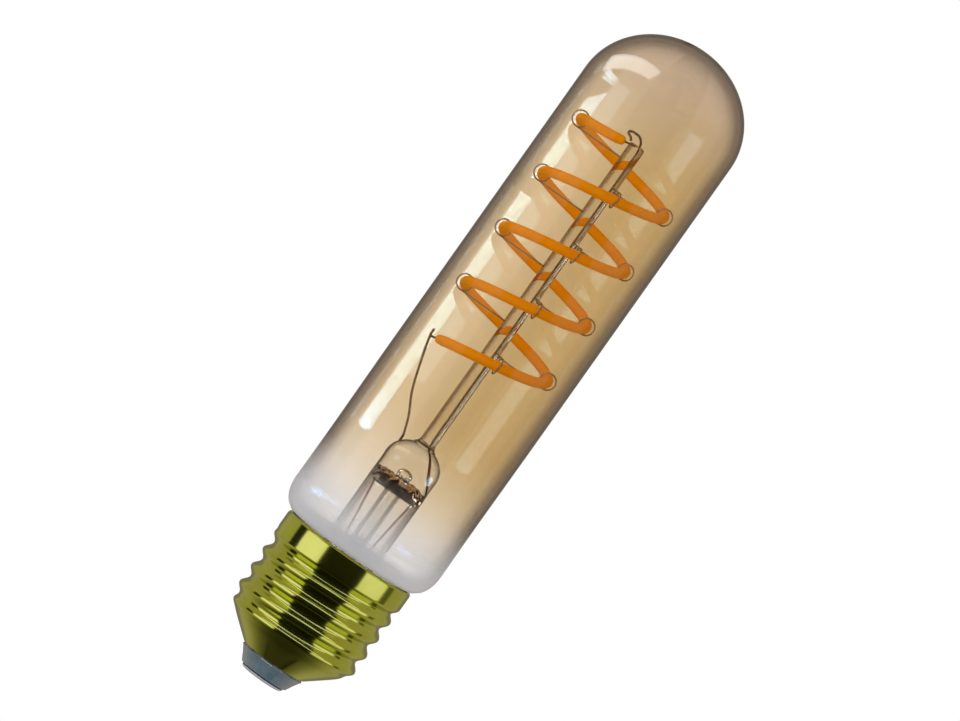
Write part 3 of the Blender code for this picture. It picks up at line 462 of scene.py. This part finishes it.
def sprayMaterial():
    # white lacquer that thins out up the wall and looks denser edge-on, with a faint painted glow
    material, shader, _, tree = startMaterial("neckSpray", spray["tone"])
    setSockets(shader, {"Base Color": (*spray["tone"], 1), **spray["sockets"]})
    facing = tree.nodes.new("ShaderNodeLayerWeight")
    facing.inputs["Blend"].default_value = spray["blend"]
    cover = ramp(
        tree, facing.outputs["Facing"], 0, spray["edgeAt"], spray["cover"], spray["edgeCover"], "LINEAR",
    )
    cover = maths(tree, "MULTIPLY", fadeMask(material, spray), cover)
    speck = useGroup(material, mottle, **{
        "Cloud Scale": spray["cloud"], "Grain Scale": spray["grain"],
        "Smooth": spray["thin"], "Rough": spray["dense"],
    })
    cover = maths(tree, "MULTIPLY", cover, speck.outputs["Roughness"])
    tree.links.new(cover, shader.inputs["Alpha"])
    return material


looks["pressGlass"] = pressMaterial()
looks["amberGlass"] = glassMaterial("amberGlass", **amberLook)
looks["stemGlass"] = glassMaterial("stemGlass", **stemLook)
looks["rodGlass"] = glassMaterial("rodGlass", **rodLook)
looks["capBrass"] = brassMaterial()
looks["phosphor"] = mottledMaterial("phosphorCoat", **phosphor)
looks["neckSpray"] = sprayMaterial()
print("materials made:", len(looks))


# glass envelope; each curve is a centre and its two radii, in mm

envelope = {
    "neckRadius": 11.2, "neckBottom": 22.6, "wall": 0.9, "tubeRadius": 15.75, "domeStart": 122.2,
    "domeHeight": 14.3, "neckCurve": ((13.2, 26.0), (2.0, 2.0)), "shoulder": ((12.9, 33.2), (2.85, 5.0)),
    "straight": (45, 60, 75, 90, 105), "slim": 0.08, "slimBelow": 46, "slimGone": 50, "steps": 160,
}
skin = {"bottom": 27.9, "curveTop": 44, "top": 47.0, "thick": 0.04}


def envelopeOutline(inset=0.0, slim=0.0):
    # the wall's line from the neck to the top of the dome; slim makes room for the spray
    e = envelope
    top = e["domeStart"] + e["domeHeight"]
    outer = [(e["neckRadius"], e["neckBottom"])]
    outer += arcPoints(*e["neckCurve"], 180, 90, 10)
    outer += arcPoints(*e["shoulder"], -70, 0, 14)
    outer += [(e["tubeRadius"], z) for z in e["straight"]]
    outer += arcPoints((0, e["domeStart"]), (e["tubeRadius"], e["domeHeight"]), 0, 90, 30)
    outer[-1] = (0, top)
    line = []
    for (r, z), (inwards, down) in zip(outer, insetSteps(outer, inset)):
        thin = slim * blend01(e["slimGone"], e["slimBelow"], z)
        line.append((max(0, r - thin - inwards), z - down))
    return line


def insetSteps(outer, inset):
    # how far each point moves to lie inset away from the line
    made = []
    for i in range(len(outer)):
        before, after = outer[max(0, i - 1)], outer[min(len(outer) - 1, i + 1)]
        run = Vector((after[0] - before[0], after[1] - before[1])).normalized()
        made.append((run.y * inset, -run.x * inset))
    made[-1] = (0, inset)
    made[0] = (inset, 0)
    return made


def buildEnvelope():
    bm = bmesh.new()
    outer = envelopeOutline(0, envelope["slim"])
    inner = envelopeOutline(envelope["wall"], envelope["slim"])
    addLathe(bm, inner[::-1] + outer, envelope["steps"])
    # the two open neck edges are joined by a flat lip
    edge = [e for e in bm.edges if e.is_boundary]
    bmesh.ops.bridge_loops(bm, edges=edge)
    return finishPiece(bm, "glassEnvelope", looks["amberGlass"], ["glass_envelope"])


def buildSpray():
    # white skin over the neck, outside the glass
    outer = [(r, z) for r, z in envelopeOutline() if skin["bottom"] < z < skin["curveTop"]]
    outer.append((envelope["tubeRadius"], skin["top"]))
    inner = [(r - skin["thick"], z) for r, z in outer]
    turnPiece("neckSpray", outer + inner[::-1], envelope["steps"], "neckSpray", sharp=50)


envelopePiece = buildEnvelope()
print("envelope built")


# screw cap

cap = {
    "bottom": 3.85, "top": 27.7, "bottomRadius": 6.4, "flare": 1.25, "root": 12.13, "crest": 13.2,
    "soften": 0.9, "threadStart": 10.314, "pitch": 3.629, "runIn": 2.5, "runOut": 2, "collarStart": 24.4,
    "sheet": 0.35, "rimRound": 0.75, "rimRoll": 0.55, "steps": 192, "rowHeight": 0.1,
}


def capRadius(height, angle):
    cone = cap["bottomRadius"] + cap["flare"] * (height - cap["bottom"])
    root = cap["root"]
    base = 0.5 * (cone + root - math.hypot(cone - root, cap["soften"]))
    turn = math.tau * (height - cap["threadStart"]) / cap["pitch"] - angle
    wave = (cap["crest"] - root) * (0.5 + 0.5 * math.cos(turn))
    runIn = blend01(cap["threadStart"] - cap["runIn"], cap["threadStart"], height)
    runOut = blend01(cap["collarStart"] - cap["runOut"], cap["collarStart"], height)
    radius = base + wave * runIn * (1 - runOut) + (cap["crest"] - base) * runOut
    # the rim is rolled slightly inwards
    over = max(0, height - (cap["top"] - cap["rimRound"])) / cap["rimRound"]
    return radius - cap["rimRoll"] * (1 - math.sqrt(max(0, 1 - over * over)))


def capNormal(height, angle):
    # outward normal of the rolled wall, from its slopes
    small = 1e-3
    rise = (capRadius(height + small, angle) - capRadius(height - small, angle)) / (2 * small)
    swing = (capRadius(height, angle + small) - capRadius(height, angle - small)) / (2 * small)
    radius = capRadius(height, angle)
    outward = Vector((math.cos(angle), math.sin(angle), 0))
    around = Vector((-math.sin(angle), math.cos(angle), 0))
    return (outward - around * swing / radius - Vector((0, 0, rise))).normalized()


def buildCap():
    rows = round((cap["top"] - cap["bottom"]) / cap["rowHeight"])
    heights = [cap["bottom"] + (cap["top"] - cap["bottom"]) * i / rows for i in range(rows + 1)]
    margin = 0.002  # keeps the slopes at both ends inside the wall
    bm = bmesh.new()
    rings, normals = [], []
    for shift, order in ((0, heights), (cap["sheet"], heights[::-1])):
        for height in order:
            level = min(max(height, cap["bottom"] + margin), cap["top"] - margin)
            ring = []
            for i in range(cap["steps"]):
                a = math.tau * i / cap["steps"]
                r = (capRadius(height, a) - shift) * mm
                ring.append(bm.verts.new((r * math.cos(a), r * math.sin(a), height * mm)))
                normals.append(capNormal(level, a) * (1 if shift == 0 else -1))
            rings.append(ring)
    addRings(bm, rings, loop=True)
    piece = finishPiece(bm, "screwCap", looks["capBrass"], ["cap_shell"])
    mesh = piece.data
    wall = (len(heights) - 1) * cap["steps"]
    corners = []
    for k, face in enumerate(mesh.polygons):
        onRim = wall <= k < wall + cap["steps"] or k >= 2 * wall + cap["steps"]
        for v in face.vertices:
            corners.append(face.normal.copy() if onRim else normals[v])
    mesh.normals_split_custom_set(corners)
    return piece


# bottom of the cap, outlines as (radius, height) in mm

insulator = {
    "steps": 96,
    "outline": [  # moulded glassy plug with rounded steps
        (1.9, 0.7), (4.35, 0.7), (4.62, 0.74), (4.8, 0.9), (4.86, 1.1), (4.99, 1.27), (5.2, 1.7),
        (5.5, 2.25), (5.9, 2.9), (6.18, 3.3), (6.3, 3.45), (6.28, 3.55), (5.75, 3.55), (5.75, 4.45),
        (8.47, 6.65), (8.47, 7.2), (1.9, 7.2),
    ],
}
contact = {
    "steps": 72,
    "outline": [  # pressed plate with a hollow rivet
        (0.85, 0.06), (0.95, 0), (3.6, 0), (3.9, 0.06), (4.12, 0.18), (4.26, 0.34), (4.3, 0.46), (4.25, 0.5),
        (1.6, 0.5), (1.6, 7.9), (1.1, 7.9), (1.1, 0.5), (0.85, 0.3),
    ],
    "solderSteps": 36,
    "solder": [
        (0, 0.1), (0.2, 0.09), (0.42, 0.12), (0.58, 0.2), (0.65, 0.34), (0.65, 1.1), (0.4, 1.3), (0, 1.4),
    ],
}


def buildBottom():
    plug, plate = insulator, contact
    turnPiece(
        "capInsulator", plug["outline"], plug["steps"], "insulator", ["cap_insulator"],
    )
    turnPiece(
        "centreContact", plate["outline"], plate["steps"], "contact", ["centre_contact"],
    )
    turnPiece(
        "contactSolder", plate["solder"], plate["solderSteps"], "solder", ["contact_solder"],
        sharp=50, loop=False,
    )


capPiece = buildCap()
buildBottom()
buildSpray()
print("cap and neck built")


# glass stem: flare, tube, press, rod and exhaust tube in one

stem = {
    "radius": 5.4, "bore": 4.6, "pressBottom": 42.1, "shoulder": 46.4, "pressTop": 50.8, "rod": 1.55,
    "rodTop": 116.0, "rodRound": 0.6, "flareRim": 10.0, "flareLow": 22.9, "flareStart": 28.6,
    "exhaust": 1.6, "exhaustBore": 0.95, "exhaustTip": 24.6, "rodGlassFrom": 51.5,
    "steps": 72, "boreSteps": 32, "stands": ["stem_flare", "stem_press", "stem_rod", "exhaust_tube"],
}
pinch = {"inside": 1.1, "outside": 4.55, "low": 40.9, "high": 44.2}  # smoky part of the press
wrinkle = {
    "inside": 2.0, "outside": 4.55, "low": 40.5, "high": 43.7,
    "waves": [(0.28, 7, 0, 0.6), (0.2, 12, 3, 0)],  # height, folds round the tube, twist per mm, start
}


def stemOutline():
    s = stem
    reach = s["flareRim"] - s["radius"]
    rounding = s["rodRound"]
    # down the outside: round end of the rod, its foot, the press, the tube and the flare
    outline = [(0, s["rodTop"])]
    outline += arcPoints((s["rod"] - rounding, s["rodTop"] - rounding), (rounding, rounding), 90, 0, 6)
    outline += [(s["rod"], z) for z in (100, 80, 60)]
    outline += arcPoints((s["rod"] + 1.2, s["pressTop"] + 1.0), (1.2, 1.3), 180, 250, 6)
    outline += arcPoints((0, s["shoulder"]), (s["radius"], s["pressTop"] - s["shoulder"]), 66, 0, 14)
    outline += [(s["radius"] - 0.05, 44.5), (s["radius"] + 0.02, s["pressBottom"]), (s["radius"], 38)]
    outline += arcPoints((s["flareRim"], s["flareStart"]), (reach, 4.9), 180, 270, 12)
    outline += [(s["flareRim"], s["flareLow"])]
    # up the inside: the flare, the bore and the underside of the press
    outline += arcPoints((s["flareRim"] - 0.8, s["flareStart"]), (reach, 5.7), 270, 180, 12)
    outline += [(s["bore"], 38), (s["bore"], 40.4)]
    outline += arcPoints((1.9, 40.4), (s["bore"] - 1.9, 3.1), 0, 84, 12)
    # down the exhaust tube to its melted tip
    outline += arcPoints((s["exhaust"] + 0.45, 42.95), (0.45, 0.5), 90, 180, 4)
    outline += [(s["exhaust"], 36), (s["exhaust"], s["exhaustTip"] + 2.4), (1.3, s["exhaustTip"] + 1.1)]
    outline += [(0.75, s["exhaustTip"] + 0.35), (0, s["exhaustTip"])]
    return outline


def wrinkleGlass(bm):
    # the pinched glass under the press is uneven
    waves = wrinkle["waves"]
    for v in bm.verts:
        r, z = math.hypot(v.co.x, v.co.y) / mm, v.co.z / mm
        if wrinkle["inside"] < r < wrinkle["outside"] and wrinkle["low"] < z < wrinkle["high"]:
            a = math.atan2(v.co.y, v.co.x)
            share = blend01(4.6, 4.1, r) * blend01(1.9, 2.4, r)
            lift = sum(size * math.sin(folds * a + twist * r + start) for size, folds, twist, start in waves)
            v.co.z += mm * share * lift


def addHollow(bm):
    # the exhaust bore and its side mouth are a closed hollow, so its faces look inwards
    bore, tip = stem["exhaustBore"], stem["exhaustTip"]
    outline = [(0, tip + 2.2), (bore * 0.7, tip + 2.5), (bore, tip + 3.2), (bore, 36), (bore, 44.2)]
    outline += arcPoints((0, 44.4), (bore * 1.1, 1.1), 0, 90, 6)[:-1] + [(0, 45.5)]
    inner = bmesh.new()
    addLathe(inner, outline, stem["boreSteps"])
    bmesh.ops.recalc_face_normals(inner, faces=inner.faces)
    for face in inner.faces:
        face.normal_flip()
    held = bpy.data.meshes.new("hollowGuide")
    inner.to_mesh(held)
    inner.free()
    bm.from_mesh(held)
    bpy.data.meshes.remove(held)


def buildStem():
    bm = bmesh.new()
    addLathe(bm, stemOutline(), stem["steps"])
    wrinkleGlass(bm)
    bmesh.ops.recalc_face_normals(bm, faces=bm.faces)
    addHollow(bm)
    piece = finishPiece(bm, "glassStem", looks["stemGlass"], stem["stands"], 60, turnOut=False)
    mesh = piece.data
    mesh.materials.append(looks["rodGlass"])
    mesh.materials.append(looks["pressGlass"])
    for face in mesh.polygons:
        x, y, z = face.center / mm
        pinched = pinch["low"] < z < pinch["high"] and pinch["inside"] < math.hypot(x, y) < pinch["outside"]
        face.material_index = 1 if z > stem["rodGlassFrom"] else 2 if pinched else 0


buildStem()
print("stem built")


# spiral light source

spiral = {
    "radius": 11.1, "start": 67.9, "top": 115.2, "turns": 4.108, "startAngle": math.radians(217),
    "droop": 1.6, "settle": math.radians(95), "coat": 0.95, "taper": 0.12, "taperFrom": 0.992,
    "stepsPerTurn": 72, "sides": 24,
}
spiral["pitch"] = (spiral["top"] + spiral["droop"] - spiral["start"]) / spiral["turns"]
spiral["endAngle"] = spiral["startAngle"] + math.tau * spiral["turns"]
pin = {"start": 0.3, "length": 2.2, "sunk": 0.2, "radius": 0.2, "sides": 12}
support = {
    "wire": 0.15, "slack": 0.42, "root": 0.95, "aside": 0.45, "ringSteps": 40, "sides": 10,
    "kinds": {  # angle on the light source, angle of the root, side of the coat that the wire touches
        "right": (0.0, 0.0, -1),
        "left": (math.pi, math.pi, -1),
        "front": (math.radians(282.5), math.radians(325), 1),
    },
}


def spiralPoint(a):
    rise = spiral["pitch"] * (a - spiral["startAngle"]) / math.tau
    droop = spiral["droop"] * blend01(spiral["endAngle"] - spiral["settle"], spiral["endAngle"], a)
    height = spiral["start"] + rise - droop
    return Vector((spiral["radius"] * math.cos(a), spiral["radius"] * math.sin(a), height))


def spiralDirection(a):
    return (spiralPoint(a + 1e-3) - spiralPoint(a - 1e-3)).normalized()


def spiralRoute():
    steps = round(spiral["stepsPerTurn"] * spiral["turns"])
    span = spiral["endAngle"] - spiral["startAngle"]
    return [spiralPoint(spiral["startAngle"] + span * i / steps) for i in range(steps + 1)]


def coatRadius(run):
    # drawn in a little where the coat closes over the pins
    return spiral["coat"] * (1 - spiral["taper"] * blend01(spiral["taperFrom"], 1, abs(2 * run - 1)))


def buildFilament():
    stands = ["filament_coating", "filament_ribbon"]
    bm = bmesh.new()
    addTube(bm, spiralRoute(), coatRadius, spiral["sides"])
    finishPiece(bm, "filamentCoat", looks["phosphor"], stands, 60)


def pinEnds(a, sign):
    direction = spiralDirection(a) * sign
    start = spiralPoint(a) + direction * pin["start"]
    return start, start + direction * pin["length"]


def buildPins():
    ends = {
        "filamentPinLower": (pinEnds(spiral["startAngle"], -1), "filament_terminal_lower"),
        "filamentPinUpper": (pinEnds(spiral["endAngle"], 1), "filament_terminal_upper"),
    }
    for name, ((start, end), node) in ends.items():
        route = [start - (end - start) * pin["sunk"], start, start.lerp(end, 0.5), end]
        bm = bmesh.new()
        addTube(bm, route, pin["radius"], pin["sides"])
        finishPiece(bm, name, looks["nickelWire"], [node])


def supportRoute(angle, rootAngle, level):
    # straight out from the rod, then once round the coat
    ringRadius = spiral["coat"] + support["slack"] + support["wire"]
    centre = spiralPoint(angle)
    touch = centre + Vector((0, 0, level * ringRadius))
    root = Vector((support["root"] * math.cos(rootAngle), support["root"] * math.sin(rootAngle), touch.z))
    outward = (touch - root).normalized()
    rise = touch - centre
    aside = outward.cross(rise).normalized() * support["aside"]
    route = [root] + [root.lerp(touch, share) for share in (0.3, 0.6, 0.85)]
    for i in range(support["ringSteps"] + 1):
        share = i / support["ringSteps"]
        turn = math.tau * share
        route.append(centre + outward * ringRadius * math.sin(turn) + rise * math.cos(turn) + aside * share)
    return route


def buildSupports():
    count = 0
    for kind, (angle, rootAngle, level) in support["kinds"].items():
        angle += math.tau * math.ceil((spiral["startAngle"] - angle) / math.tau)
        number = 1
        while angle < spiral["endAngle"]:
            bm = bmesh.new()
            addTube(bm, supportRoute(angle, rootAngle, level), support["wire"], support["sides"])
            name = "support" + kind.capitalize() + str(number)
            finishPiece(bm, name, looks["supportWire"], [f"support_wire_{kind}_{number}"])
            angle += math.tau
            number += 1
            count += 1
    return count


buildFilament()
buildPins()
print("filament built with", buildSupports(), "supports")


# lead wires, from the driver through the press to the light source, in mm

lead = {
    "radius": 0.23, "sides": 14, "sealOut": 4.07, "sealLow": 41.5, "sealTop": 43.4,
    "lowerStart": (-4.374, -0.702, 50.2), "lowerWeld": 0.56,
    # shares of the climb in x, y and z
    "lowerBends": [(0.19, 0.2, 0.19), (0.53, 0.53, 0.43), (0.86, 0.86, 0.8)],
    "upperY": -2.08,
    "feed": [(2.3, 1, 15.5), (2.4, 0.5, 22.6), (2.55, 0, 28.6), (3.37, 0, 36.2), (4.07, 0, 41.0)],
}


def lowerLead():
    start, end = pinEnds(spiral["startAngle"], -1)
    joint = start.lerp(end, 0.75)
    weld = joint + Vector((joint.x, joint.y, 0)).normalized() * lead["lowerWeld"]
    leave = Vector(lead["lowerStart"])
    climb = weld - leave
    bends = [leave + Vector((climb.x * x, climb.y * y, climb.z * z)) for x, y, z in lead["lowerBends"]]
    return [leave, *bends, weld, weld + Vector((-0.1, 0, 1.2))]


def upperLead():
    # up beside the rod, over its top and down to the upper pin
    start, end = pinEnds(spiral["endAngle"], 1)
    weld = start.lerp(end, 0.4) + Vector((0, 0, 0.66))
    y = lead["upperY"]
    return [Vector(p) for p in (
        (0.75, y, 51), (0.6, y, 53.2), (0.6, y, 83.4), (0.6, y, 114.4), (0.5, y - 0.2, 115.7),
        (0, y - 1, 116.9), (-0.9, y - 3, 117.5), (weld.x - 0.9, (y + weld.y) / 2 - 1.6, 117.4),
        (weld.x - 1.1, weld.y + 1.4, 116.9), (weld.x - 0.4, weld.y + 0.3, weld.z + 0.5), tuple(weld),
    )]


def sealRoute(side, leave):
    low = Vector((side * lead["sealOut"], 0, lead["sealLow"]))
    inside = Vector((side * lead["sealOut"], 0, lead["sealTop"]))
    return [low, inside, inside.lerp(leave, 0.6), leave]


def feedRoute(side):
    return [(side * x, y, z) for x, y, z in lead["feed"]]


def buildLeads():
    lower, upper = lowerLead(), upperLead()
    wires = [
        ("leadLower", lower, "nickelWire", "nickel_wire", "lead_wire_lower"),
        ("leadUpper", upper, "nickelWire", "nickel_wire", "lead_wire_upper"),
        ("sealLeft", sealRoute(-1, lower[0]), "sealWire", "seal_wire", "lead_seal_left"),
        ("sealRight", sealRoute(1, upper[0]), "sealWire", "seal_wire", "lead_seal_right"),
        ("feedLeft", feedRoute(-1), "copperWire", "copper_wire", "feed_wire_left"),
        ("feedRight", feedRoute(1), "copperWire", "copper_wire", "feed_wire_right"),
    ]
    for name, points, look, slotName, node in wires:
        bm = bmesh.new()
        addTube(bm, softRoute(points), lead["radius"], lead["sides"])
        finishPiece(bm, name, looks[look], [node])
    return len(wires)


print("lead wires built:", buildLeads())


# the driver's CAD pieces keep their shapes

carried = {
    "cap_cement": "cement", "driver_sleeve": "whitePlastic", "driver_board": "circuitBoard",
    "bulk_capacitor": "capacitorSleeve", "output_capacitor": "capacitorSleeve", "choke_core": "ferrite",
    "choke_winding": "woundCopper", "radio_board": "circuitBoard", "radio_shield": "shieldSteel",
    "radio_antenna": "copperWire", "bridge_rectifier": "blackPlastic", "driver_chip": "blackPlastic",
    "fuse_resistor": "resistor", "surge_varistor": "varistor", "live_wire": "redSleeve",
    "neutral_wire": "copperWire",
}
for nodeName, look in carried.items():
    for place in nodes[nodeName].material_slots:
        place.material = looks[look]
print("driver dressed:", len(carried), "pieces")


# studio

studio = {
    "lens": 250, "sensor": 36, "frameWidth": 0.1705, "roll": 35.3, "elevation": 2.0, "middle": 0.06825,
    "aside": 0.00043, "lift": 0.00092, "floorDrop": 0.075, "floorRadius": 0.3, "floorTone": (0.9, 0.9, 0.9),
    "floorGlow": 0.45,
}


def buildCamera():
    roll, rise = math.radians(studio["roll"]), math.radians(studio["elevation"])
    distance = studio["frameWidth"] * studio["lens"] / studio["sensor"]
    back = Vector((0, -math.cos(rise), math.sin(rise)))
    level = Vector((1, 0, 0))
    lift = back.cross(level)
    up = level * -math.sin(roll) + lift * math.cos(roll)
    right = level * math.cos(roll) + lift * math.sin(roll)
    target = Vector((0, 0, studio["middle"])) - right * studio["aside"] + up * studio["lift"]
    data = bpy.data.cameras.new("studioCamera")
    data.lens = studio["lens"]
    data.sensor_width = studio["sensor"]
    data.clip_end = 20
    camera = bpy.data.objects.new("studioCamera", data)
    bpy.context.scene.collection.objects.link(camera)
    camera.location = target + back * distance
    turn = camera.matrix_world.to_3x3()
    turn.col[0], turn.col[1], turn.col[2] = right, up, back
    camera.rotation_euler = turn.to_euler()
    bpy.context.scene.camera = camera


def buildFloor():
    bm = bmesh.new()
    bmesh.ops.create_circle(bm, cap_ends=True, radius=studio["floorRadius"], segments=96)
    mesh = bpy.data.meshes.new("studioFloor")
    bm.to_mesh(mesh)
    bm.free()
    material, shader, output, tree = startMaterial("studioFloor", studio["floorTone"])
    setSockets(shader, {
        "Base Color": (*studio["floorTone"], 1), "Roughness": 0.8,
        "Emission Color": (1, 1, 1, 1), "Emission Strength": studio["floorGlow"],
    })
    # open from below, so the lamp's bottom can be seen
    side = tree.nodes.new("ShaderNodeNewGeometry")
    openWhere(tree, side.outputs["Backfacing"], shader, output)
    mesh.materials.append(material)
    floor = bpy.data.objects.new("studioFloor", mesh)
    bpy.context.scene.collection.objects.link(floor)
    floor.location.z = -studio["floorDrop"]
    floor.visible_glossy = False
    floor.visible_diffuse = False


# what is behind the lamp, and the room that its glass and brass mirror
room = {
    "backdrop": 1.0, "ambient": 0.45, "back": 0.45, "front": 0.24, "frontFrom": 0.77, "frontTo": 0.91,
    "darkest": 0.012, "hue": (1, 0.86, 0.7),
    "screen": {"left": (-0.305, -0.275), "right": (0.34, 0.375), "rear": (0.35, 0.6), "low": (-0.95, -0.8)},
    "leftStrip": {"left": (-1.16, -1.12), "right": (-0.84, -0.81), "depth": 1},
    "rightStrip": {"left": (0.95, 0.98), "right": (1.18, 1.25), "depth": 0.75},
    "stripEnds": (0.3, 0.5), "below": (-1.0, -0.62), "belowDepth": 0.95,
}


def mirroredRoom(tree, direction):
    # a warm room with a dark screen in front, a dark strip beyond each panel and a dark floor
    x, y, z = (direction.outputs[axis] for axis in "XYZ")
    lean = maths(tree, "DIVIDE", x, maths(tree, "SUBTRACT", 1.001, y))

    def both(a, b):
        return maths(tree, "MULTIPLY", a, b)

    def strip(values):
        left = ramp(tree, lean, *values["left"], 0, values["depth"])
        return both(left, ramp(tree, lean, *values["right"], 1, 0))

    screen = room["screen"]
    dark = both(ramp(tree, lean, *screen["left"], 0, 1), ramp(tree, lean, *screen["right"], 1, 0))
    dark = both(dark, ramp(tree, y, *screen["rear"], 1, 0))
    dark = both(dark, ramp(tree, z, *screen["low"], 0, 1))
    strips = maths(tree, "ADD", strip(room["leftStrip"]), strip(room["rightStrip"]))
    strips = both(strips, ramp(tree, maths(tree, "ABSOLUTE", z), *room["stripEnds"], 1, 0))
    below = ramp(tree, z, *room["below"], room["belowDepth"], 0)
    dark = maths(tree, "ADD", maths(tree, "ADD", dark, strips), below, clamp=True)
    level = ramp(tree, y, room["frontFrom"], room["frontTo"], room["back"], room["front"])
    lit = maths(tree, "SUBTRACT", 1, both(dark, 1 - room["darkest"] / room["back"]))
    return both(level, lit)


def buildWorld():
    # plain rays see the backdrop, scattered ones the ambient light and reflected ones the room
    world = bpy.data.worlds.new("studioWorld")
    bpy.context.scene.world = world
    world.use_nodes = True
    tree = world.node_tree
    background = tree.nodes["Background"]
    path = tree.nodes.new("ShaderNodeLightPath")
    place = tree.nodes.new("ShaderNodeTexCoord")
    direction = tree.nodes.new("ShaderNodeSeparateXYZ")
    tree.links.new(place.outputs["Generated"], direction.inputs[0])
    reflected = maths(tree, "GREATER_THAN", path.outputs["Glossy Depth"], 0.5)
    scattered = maths(tree, "GREATER_THAN", path.outputs["Diffuse Depth"], 0.5)
    unscattered = maths(tree, "SUBTRACT", 1, scattered)
    plain = maths(tree, "MULTIPLY", maths(tree, "SUBTRACT", 1, reflected), unscattered)
    mirrored = maths(tree, "MULTIPLY", reflected, unscattered)
    level = maths(tree, "MULTIPLY", plain, room["backdrop"])
    level = maths(tree, "ADD", level, maths(tree, "MULTIPLY", mirrored, mirroredRoom(tree, direction)))
    level = maths(tree, "ADD", level, maths(tree, "MULTIPLY", scattered, room["ambient"]))
    tree.links.new(level, background.inputs["Strength"])
    tree.links.new(mixColour(tree, reflected, (1, 1, 1), room["hue"]), background.inputs["Color"])


def showWhenMirrored(data, inside):
    # the panel is seen only as a reflection; inside keeps it to the far wall, behind the light source
    data.use_nodes = True
    tree = data.node_tree
    path = tree.nodes.new("ShaderNodeLightPath")
    strength = maths(tree, "GREATER_THAN", path.outputs["Glossy Depth"], 0.5)
    if inside:
        within = maths(tree, "GREATER_THAN", path.outputs["Transmission Depth"], 3.5)
        strength = maths(tree, "MULTIPLY", strength, within)
    tree.links.new(strength, tree.nodes["Emission"].inputs["Strength"])


def softbox(
    name, lit, azimuth, size, level, height, elevation=0, reach=0.5, tint=(1, 1, 1), mirrored="", turn=0,
):
    # level is the panel's brightness; azimuth 0 is in front, positive to the right
    a, e = math.radians(azimuth), math.radians(elevation)
    away = Vector((math.sin(a) * math.cos(e), -math.cos(a) * math.cos(e), math.sin(e)))
    data = bpy.data.lights.new(name, "AREA")
    data.shape = "RECTANGLE"
    data.size, data.size_y = size
    data.energy = level * math.pi * size[0] * size[1]
    data.color = tint
    lamp = bpy.data.objects.new(name, data)
    bpy.context.scene.collection.objects.link(lamp)
    lamp.location = Vector((0, 0, height)) + away * reach
    aim = away.to_track_quat("Z", "Y").to_matrix() @ Matrix.Rotation(math.radians(turn), 3, "Z")
    lamp.rotation_euler = aim.to_euler()
    lamp.visible_camera = False
    if mirrored:
        showWhenMirrored(data, mirrored == "inside")
    else:
        lamp.visible_transmission = False
    group = bpy.data.collections.new(name + "Lit")
    for piece in lit:
        group.objects.link(piece)
    lamp.light_linking.receiver_collection = group


cool = (0.45, 0.405, 1.0)
clear = (0.22, 0.45, 1)
capPanels = {  # mirrored in the cap
    "capLeft": {"azimuth": -55.5, "size": (0.41, 0.5), "level": 1.9, "height": 0.016, "tint": cool},
    "capRight": {"azimuth": 62, "size": (0.41, 0.5), "level": 1.55, "height": 0.016, "tint": cool},
    "capTop": {
        "azimuth": 0, "elevation": 66, "size": (1.2, 0.11), "level": 2.2, "height": 0.016, "tint": cool,
    },
}
farWall = {"tint": clear, "mirrored": "inside"}
glassPanels = {  # mirrored in the glass
    "stripeLow": {"azimuth": 102, "size": (0.27, 0.071), "level": 30, "height": 0.0565, **farWall},
    "stripeHigh": {"azimuth": 102, "size": (0.27, 0.019), "level": 30, "height": 0.1057, **farWall},
    "washLeft": {"azimuth": 70, "size": (0.27, 0.092), "level": 7.5, "height": 0.085, **farWall},
    "washRight": {"azimuth": -65, "size": (0.24, 0.105), "level": 8.5, "height": 0.079, **farWall},
    "stripeDome": {
        "azimuth": -88, "elevation": 34, "size": (0.66, 0.2), "level": 4.2, "height": 0.124,
        "tint": (0.85, 0.92, 1), "mirrored": "outside", "turn": 35,
    },
}
restPanels = {  # light on what is inside, and on the neck
    "keyInside": {
        "azimuth": -15, "elevation": 22, "reach": 0.6, "size": (0.5, 0.5), "level": 2.0, "height": 0.07,
    },
    "fillInside": {
        "azimuth": 30, "elevation": 5, "reach": 0.6, "size": (0.4, 0.5), "level": 0.5, "height": 0.07,
    },
}


def buildLights():
    apart = {capPiece, envelopePiece}
    rest = [
        o for o in bpy.context.scene.objects
        if o.type == "MESH" and o not in apart and o.name != "studioFloor"
    ]
    for lit, panels in (([capPiece], capPanels), ([envelopePiece], glassPanels), (rest, restPanels)):
        for name, values in panels.items():
            softbox(name, lit, **values)


buildCamera()
buildFloor()
buildWorld()
buildLights()
bpy.context.scene.view_settings.view_transform = "Standard"
print("studio ready")
